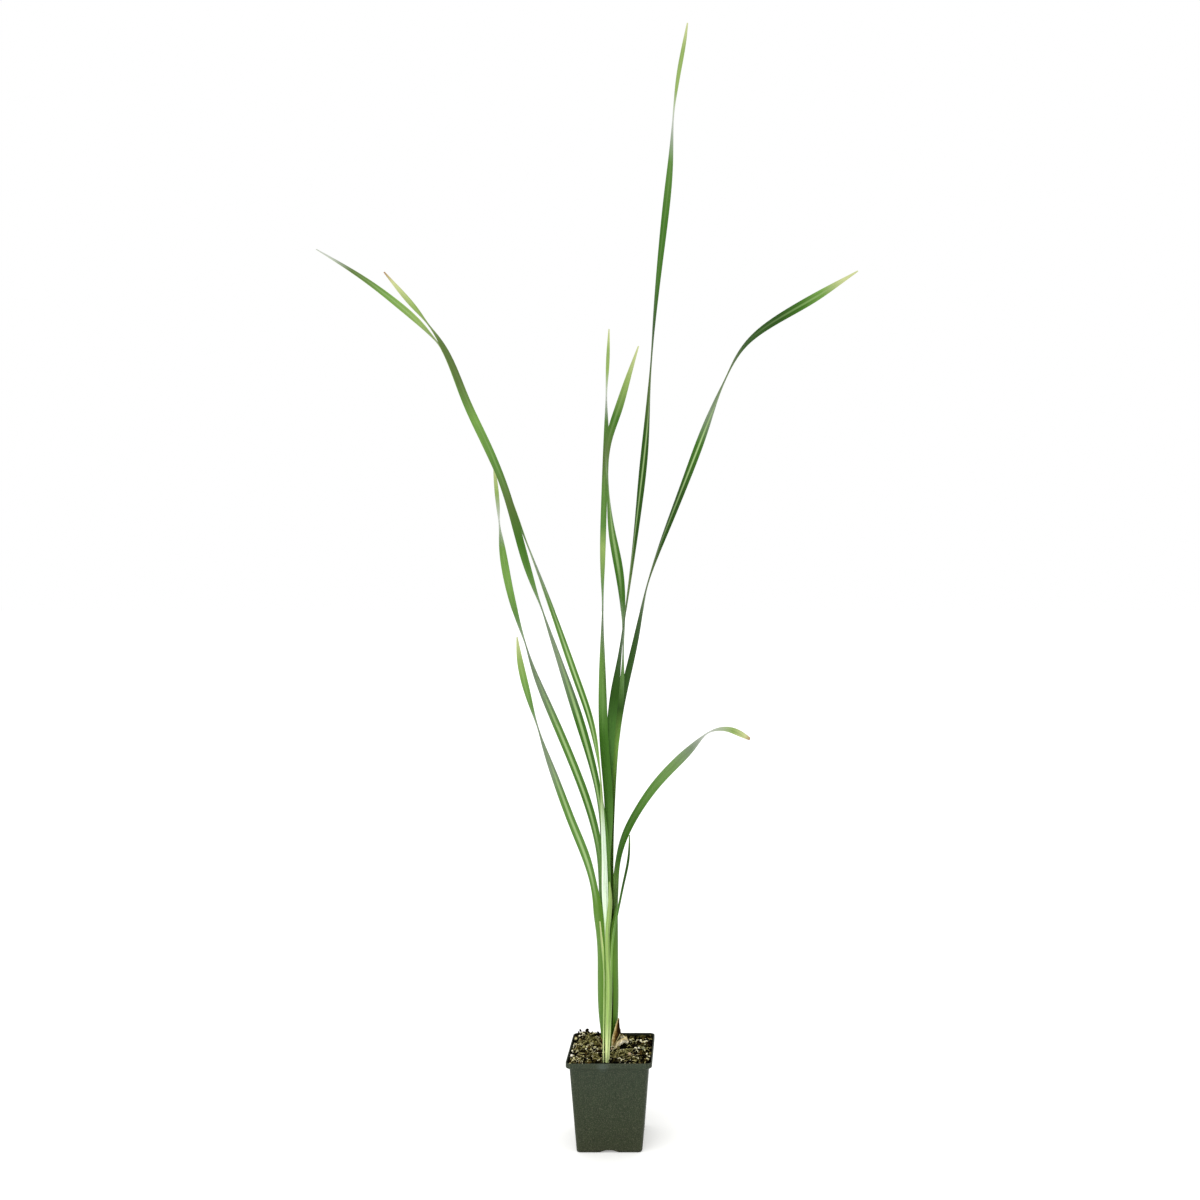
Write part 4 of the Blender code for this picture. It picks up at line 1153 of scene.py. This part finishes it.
def living_leaf(name, greens, seed, collar, channel, inside_lit, film, ribs):
    """Living leaf under a thin wax: satin, ribbed lengthwise by its veins. Its look comes from a painted
    sheen down the channel in its middle, fine lengthwise streaks, and painted light inside its sheath that
    lifts the shade there, with a young leaf's pale inner skin. The sheath reaches up to the collar;
    channel is how far the painted sheen fades out across the leaf, the next value is the green inside the
    sheath with that painted light, and film and ribs are how strongly a young leaf's papery margins and
    the wide ribs of its sheath show."""
    material, tree, shader = new_material(name, Roughness=0.45, IOR=1.45, Specular_IOR_Level=0.16)
    along, across, along_mm, across_mm, hollow = (
        add_node(tree, "Attribute", attribute_name=key).outputs["Fac"]
        for key in ("along", "across", "along_mm", "across_mm", "hollow")
    )
    tone = add_node(tree, "ValToRGB", {"Fac": along})
    set_ramp(tone.color_ramp, [(place, (*linear(code)[:3], sheen)) for place, code, sheen in greens])
    off_middle = add_node(tree, "Math", {0: across}, operation="ABSOLUTE")
    # A painted sheen down the middle of the channel, as strong as the third value of each green.
    band = add_node(
        tree,
        "MapRange",
        {
            "Value": off_middle,
            "From Min": channel * 0.3,
            "From Max": channel,
            "To Min": 1.0,
            "To Max": 0.0,
        },
        interpolation_type="SMOOTHSTEP",
    )
    band = add_node(tree, "Math", {0: band, 1: tone.outputs["Alpha"]}, operation="MULTIPLY")
    sheened = add_node(
        tree, "Mix", {"Factor": band, "A": tone.outputs["Color"], "B": linear(CHANNEL_SHEEN)}, data_type="RGBA"
    )
    # Inside the sheath the green is made lighter: painted light that lifts the shade there, and in a young
    # leaf also its own pale inner skin.
    in_sheath = add_node(
        tree,
        "MapRange",
        {"Value": along, "From Min": collar, "From Max": collar + 0.05, "To Min": 1.0, "To Max": 0.0},
    )
    inner = add_node(tree, "Math", {0: in_sheath, 1: hollow}, operation="MULTIPLY")
    inside_lifted = add_node(tree, "Mix", {"Factor": inner, "A": sheened, "B": linear(inside_lit)}, data_type="RGBA")
    margin = add_node(
        tree, "MapRange", {"Value": off_middle, "From Min": 0.9, "From Max": 0.98, "To Max": film}
    )
    edged = add_node(
        tree, "Mix", {"Factor": margin, "A": inside_lifted, "B": linear("#c6d79c")}, data_type="RGBA"
    )
    # Streaks run 40 mm or more along the leaf and are 0.3 to 2 mm wide.
    length = add_node(tree, "Math", {0: along_mm, 1: 0.02}, operation="MULTIPLY")
    lengthwise = add_node(tree, "CombineXYZ", {"X": across_mm, "Y": length, "Z": seed})
    broad = add_node(tree, "TexNoise", {"Vector": lengthwise, "Scale": 0.55, "Detail": 1.0})
    narrow = add_node(tree, "TexNoise", {"Vector": lengthwise, "Scale": 2.4, "Detail": 2.0})
    # Air cells between the veins, about 0.5 by 1.5 mm, show as a faint mottle.
    stretched = add_node(tree, "Math", {0: along_mm, 1: 0.35}, operation="MULTIPLY")
    cells = add_node(tree, "CombineXYZ", {"X": across_mm, "Y": stretched, "Z": seed})
    mottle = add_node(tree, "TexNoise", {"Vector": cells, "Scale": 1.9, "Detail": 1.0})
    # A vein every 0.6 mm, and in young sheaths a rib every 2.8 mm that fades up the leaf.
    vein = add_node(tree, "Math", {0: across_mm, 1: math.tau / 0.6}, operation="MULTIPLY")
    vein = add_node(tree, "Math", {0: vein}, operation="SINE")
    rib = add_node(tree, "Math", {0: across_mm, 1: math.tau / 2.8, 2: seed}, operation="MULTIPLY_ADD")
    rib = add_node(tree, "Math", {0: rib}, operation="SINE")
    rib_depth = add_node(
        tree,
        "MapRange",
        {
            "Value": along,
            "From Min": collar,
            "From Max": collar + 0.15,
            "To Min": ribs,
            "To Max": ribs * 0.25,
        },
    )
    shade = add_node(tree, "Math", {0: rib, 1: rib_depth, 2: 1.0}, operation="MULTIPLY_ADD")
    for pattern, low, high, depth in (
        (broad, 0.25, 0.75, 0.10),
        (narrow, 0.25, 0.75, 0.16),
        (mottle, 0.25, 0.75, 0.06),
        (vein, -1.0, 1.0, 0.03),
    ):
        part = add_node(
            tree,
            "MapRange",
            {
                "Value": pattern,
                "From Min": low,
                "From Max": high,
                "To Min": 1 - depth,
                "To Max": 1 + depth,
            },
        )
        shade = add_node(tree, "Math", {0: shade, 1: part}, operation="MULTIPLY")
    colour = add_node(tree, "VectorMath", {0: edged.outputs["Result"], "Scale": shade}, operation="SCALE")
    tree.links.new(colour.outputs[0], shader.inputs["Base Color"])
    relief = add_node(tree, "Math", {0: vein, 1: 0.5, 2: narrow}, operation="MULTIPLY_ADD")
    relief = add_node(tree, "Math", {0: mottle, 1: 0.6, 2: relief}, operation="MULTIPLY_ADD")
    bump = add_node(tree, "Bump", {"Strength": 0.35, "Distance": 0.00012, "Height": relief})
    tree.links.new(bump.outputs[0], shader.inputs["Normal"])
    worn = add_node(
        tree,
        "MapRange",
        {"Value": mottle, "From Min": 0.3, "From Max": 0.7, "To Min": 0.38, "To Max": 0.54},
    )
    tree.links.new(worn.outputs[0], shader.inputs["Roughness"])
    return material


for order, (name, leaf) in enumerate(LEAVES.items()):
    rear = leaf["shoot"] == "rear"
    foot = sheath_stations(leaf, REAR_SHEATH_THICKNESS if rear else FRONT_SHEATH_THICKNESS)
    stations = foot + blade_stations(leaf, 1 if foot[0][5] > 0 else -1)
    strap = strap_mesh(name.replace("leaf", "cattail"), stations, ROW_STEP, ACROSS_STEPS)
    steps = np.linalg.norm(np.diff(np.array(stations)[:, :3], axis=0), axis=1)
    collar = float(steps[: len(foot)].sum() / steps.sum())
    channel = leaf.get("channel", CHANNEL)
    # An old leaf's sheath is lighter inside as painted light; a young one's is pale inside, partly its own
    # skin and partly painted light, with papery margins and ribs.
    sheath_look = (leaf.get("inside_lit", INSIDE_LIT), 0.0, 0.0) if rear else (YOUNG_PALE_INSIDE_LIT, 0.50, 0.15)
    finish = living_leaf(strap.name, leaf["greens"], float(order), collar, channel, *sheath_look)
    blade = link_mesh(strap.name, strap, finish, 50)
    set_piece(blade, "root", name)

# Dry strips. What is left of the shoot's oldest leaves: papery brown and tan shreds at its foot, split
# along their veins and curled at the edges. Each is still held where it grew, just under the mix.
DRY_STRIPS = {
    "dry_sheath_right": [
        (0.0042, 0.0090, 0.0950, 0.0110, 45, 85),
        (0.0050, 0.0091, 0.1010, 0.0118, 45, 80),
        (0.0060, 0.0094, 0.1060, 0.0120, 42, 70),
        (0.0059, 0.0094, 0.1120, 0.0084, 42, 50),
        (0.0062, 0.0096, 0.1180, 0.0052, 45, 30),
        (0.0071, 0.0099, 0.1241, 0.0012, 45, 10),
    ],
    "dry_sheath_left": [
        (-0.0108, 0.0060, 0.0950, 0.0042, -40, 40),
        (-0.0134, 0.0050, 0.0994, 0.0034, -40, 30),
        (-0.0178, 0.0032, 0.1068, 0.0010, -40, 10),
    ],
    "dry_leaf_scrap": [
        (0.0075, 0.0225, 0.0960, 0.0046, 10, 40),
        (0.0095, 0.0200, 0.0990, 0.0060, 15, 60),
        (0.0125, 0.0165, 0.0998, 0.0060, 20, 60),
        (0.0155, 0.0135, 0.0972, 0.0036, 20, 40),
    ],
}
DRY_THICKNESS = 0.0006
SHRED_THICKNESS = 0.0004
# Their creases: how they are drawn, how far apart they are, and how deep.
CREASE_SEED = 5
CREASE_WAVE = 0.0024
CREASE_DEPTH = {"dry_leaf_scrap": 0.0011, "shred_folded": 0.0008}
# The tones of each strip from its left margin to its right one.
DRY_TONES = {
    "dry_sheath_right": (
        "dry_leaf_brown",
        ["#dccf98", "#b3955a", "#5a3f18", "#2a1906", "#1b0f03", "#2e1b08", "#4a300f"],
    ),
    "dry_sheath_left": ("dry_leaf_tan", ["#4a3a14", "#2c1a06", "#8f8655", "#b3aa78"]),
    # The scrap's pale tan is lifted almost to white: painted light.
    "dry_leaf_scrap": ("dry_leaf_tan", ["#dcc68c", "#fbeecb", "#fff8e0", "#f8e9c2", "#ccb478"]),
}


def dead_leaf(name, tones, seed):
    """Dead leaf, dried on the plant: matt and papery, with dark veins and paler fibres between them."""
    material, tree, shader = new_material(name, Roughness=0.85, Specular_IOR_Level=0.05)
    across, along_mm, across_mm = (
        add_node(tree, "Attribute", attribute_name=key).outputs["Fac"]
        for key in ("across", "along_mm", "across_mm")
    )
    length = add_node(tree, "Math", {0: along_mm, 1: 0.12}, operation="MULTIPLY")
    lengthwise = add_node(tree, "CombineXYZ", {"X": across_mm, "Y": length, "Z": seed})
    fibre = add_node(tree, "TexNoise", {"Vector": lengthwise, "Scale": 2.6, "Detail": 3.0})
    place = add_node(tree, "TexCoord").outputs["Object"]
    blotch = add_node(tree, "TexNoise", {"Vector": place, "Scale": 330.0, "Detail": 4.0})
    shade = add_node(tree, "Math", {0: across, 1: 0.5, 2: 0.25}, operation="MULTIPLY_ADD")
    shade = add_node(tree, "Math", {0: blotch, 1: 0.5, 2: shade}, operation="MULTIPLY_ADD")
    tone = add_node(tree, "ValToRGB", {"Fac": shade})
    set_ramp(tone.color_ramp, [(i / (len(tones) - 1), linear(code)) for i, code in enumerate(tones)])
    veined = add_node(
        tree, "MapRange", {"Value": fibre, "From Min": 0.3, "From Max": 0.7, "To Min": 0.6, "To Max": 1.4}
    )
    colour = add_node(tree, "VectorMath", {0: tone.outputs["Color"], "Scale": veined}, operation="SCALE")
    tree.links.new(colour.outputs[0], shader.inputs["Base Color"])
    bump = add_node(tree, "Bump", {"Strength": 0.7, "Distance": 0.0003, "Height": fibre})
    tree.links.new(bump.outputs[0], shader.inputs["Normal"])
    return material


def crumpled(name, stations, thickness, depth):
    """A dry strip: the strap, shrunk unevenly as it dried. Depth is that of its creases."""
    mesh = strap_mesh(name, [(*s, thickness) for s in stations], 0.0006, 14)
    noise.seed_set(CREASE_SEED)
    for vertex in mesh.vertices:
        vertex.co += noise.noise_vector(vertex.co / CREASE_WAVE) * depth
    return mesh


for order, (name, stations) in enumerate(DRY_STRIPS.items()):
    slot, tones = DRY_TONES[name]
    depth = CREASE_DEPTH.get(name, 0.0003)
    strip = crumpled(name.replace("dry", "withered"), stations, DRY_THICKNESS, depth)
    piece = link_mesh(strip.name, strip, dead_leaf(strip.name, tones, float(order)), 50)
    set_piece(piece, "root", name)

# Shreds split off these strips: one pale tan across the brown sheath, one brown at its left, the
# folded front of the scrap over its hollow, and its pale left foot. Their stations are as above.
SHREDS = {
    "shred_tan": ("dry_leaf_tan", ["#8f8655", "#c9c08e", "#b3a874"], [
        (0.0008, 0.0056, 0.0935, 0.0022, 45, 15),
        (0.0042, 0.0071, 0.0990, 0.0021, 45, 15),
        (0.0085, 0.0106, 0.1068, 0.0012, 45, 10),
    ]),
    "shred_brown": ("dry_leaf_brown", ["#2c1a06", "#3f2b0d", "#8a7a48"], [
        (-0.0085, 0.0085, 0.0945, 0.0034, -30, 30),
        (-0.0110, 0.0090, 0.1000, 0.0034, -30, 30),
        (-0.0135, 0.0100, 0.1055, 0.0016, -30, 20),
    ]),
    # The folded front of the scrap is pale tan lifted almost to white as well: painted light.
    "shred_folded": ("dry_leaf_tan", ["#d9c48c", "#fff1cc", "#fffae6", "#ecd9a6"], [
        (0.0062, 0.0085, 0.0950, 0.0026, 10, 20),
        (0.0096, 0.0100, 0.0978, 0.0056, 15, 40),
        (0.0134, 0.0118, 0.0990, 0.0066, 20, 50),
        (0.0168, 0.0122, 0.0972, 0.0040, 20, 40),
    ]),
    "shred_pale": ("dry_leaf_tan", ["#b59f68", "#ecdfba", "#c2ab72"], [
        (0.0042, 0.0035, 0.0940, 0.0024, 20, 20),
        (0.0060, 0.0060, 0.0985, 0.0028, 20, 20),
        (0.0088, 0.0092, 0.1005, 0.0024, 20, 20),
    ]),
}
for order, (name, (slot, tones, stations)) in enumerate(SHREDS.items()):
    shred = crumpled(name, stations, SHRED_THICKNESS, CREASE_DEPTH.get(name, 0.0004))
    set_piece(link_mesh(name, shred, dead_leaf(name, tones, 5.0 + order), 50), "root")

# Floor and light. A plain white light table, lit faintly from below, under soft light from all round
# that is a little stronger from above and from the front left.
FLOOR_SIZE = 60.0

bm = bmesh.new()
bmesh.ops.create_grid(bm, x_segments=1, y_segments=1, size=FLOOR_SIZE)
floor_mesh = bpy.data.meshes.new("floor")
bm.to_mesh(floor_mesh)
bm.free()
floor_finish, _, floor_shader = new_material(
    "opal_acrylic", Roughness=0.9, Specular_IOR_Level=0.0
)
floor_shader.inputs["Base Color"].default_value = (0.82, 0.82, 0.81, 1.0)
floor_shader.inputs["Emission Color"].default_value = (1.0, 0.99, 0.97, 1.0)
floor_shader.inputs["Emission Strength"].default_value = 0.28
floor = link_mesh("floor", floor_mesh, floor_finish)

world = bpy.data.worlds.new("studio")
bpy.context.scene.world = world
world.use_nodes = True
world.node_tree.nodes["Background"].inputs["Color"].default_value = (1.0, 1.0, 1.0, 1.0)
world.node_tree.nodes["Background"].inputs["Strength"].default_value = 1.0
sun = bpy.data.objects.new("soft_sun", bpy.data.lights.new("soft_sun", "SUN"))
bpy.context.scene.collection.objects.link(sun)
sun.data.energy = 0.85
sun.data.angle = math.radians(55)
sun.rotation_euler = (math.radians(38), 0.0, math.radians(-30))
bpy.context.scene.view_settings.view_transform = "Standard"
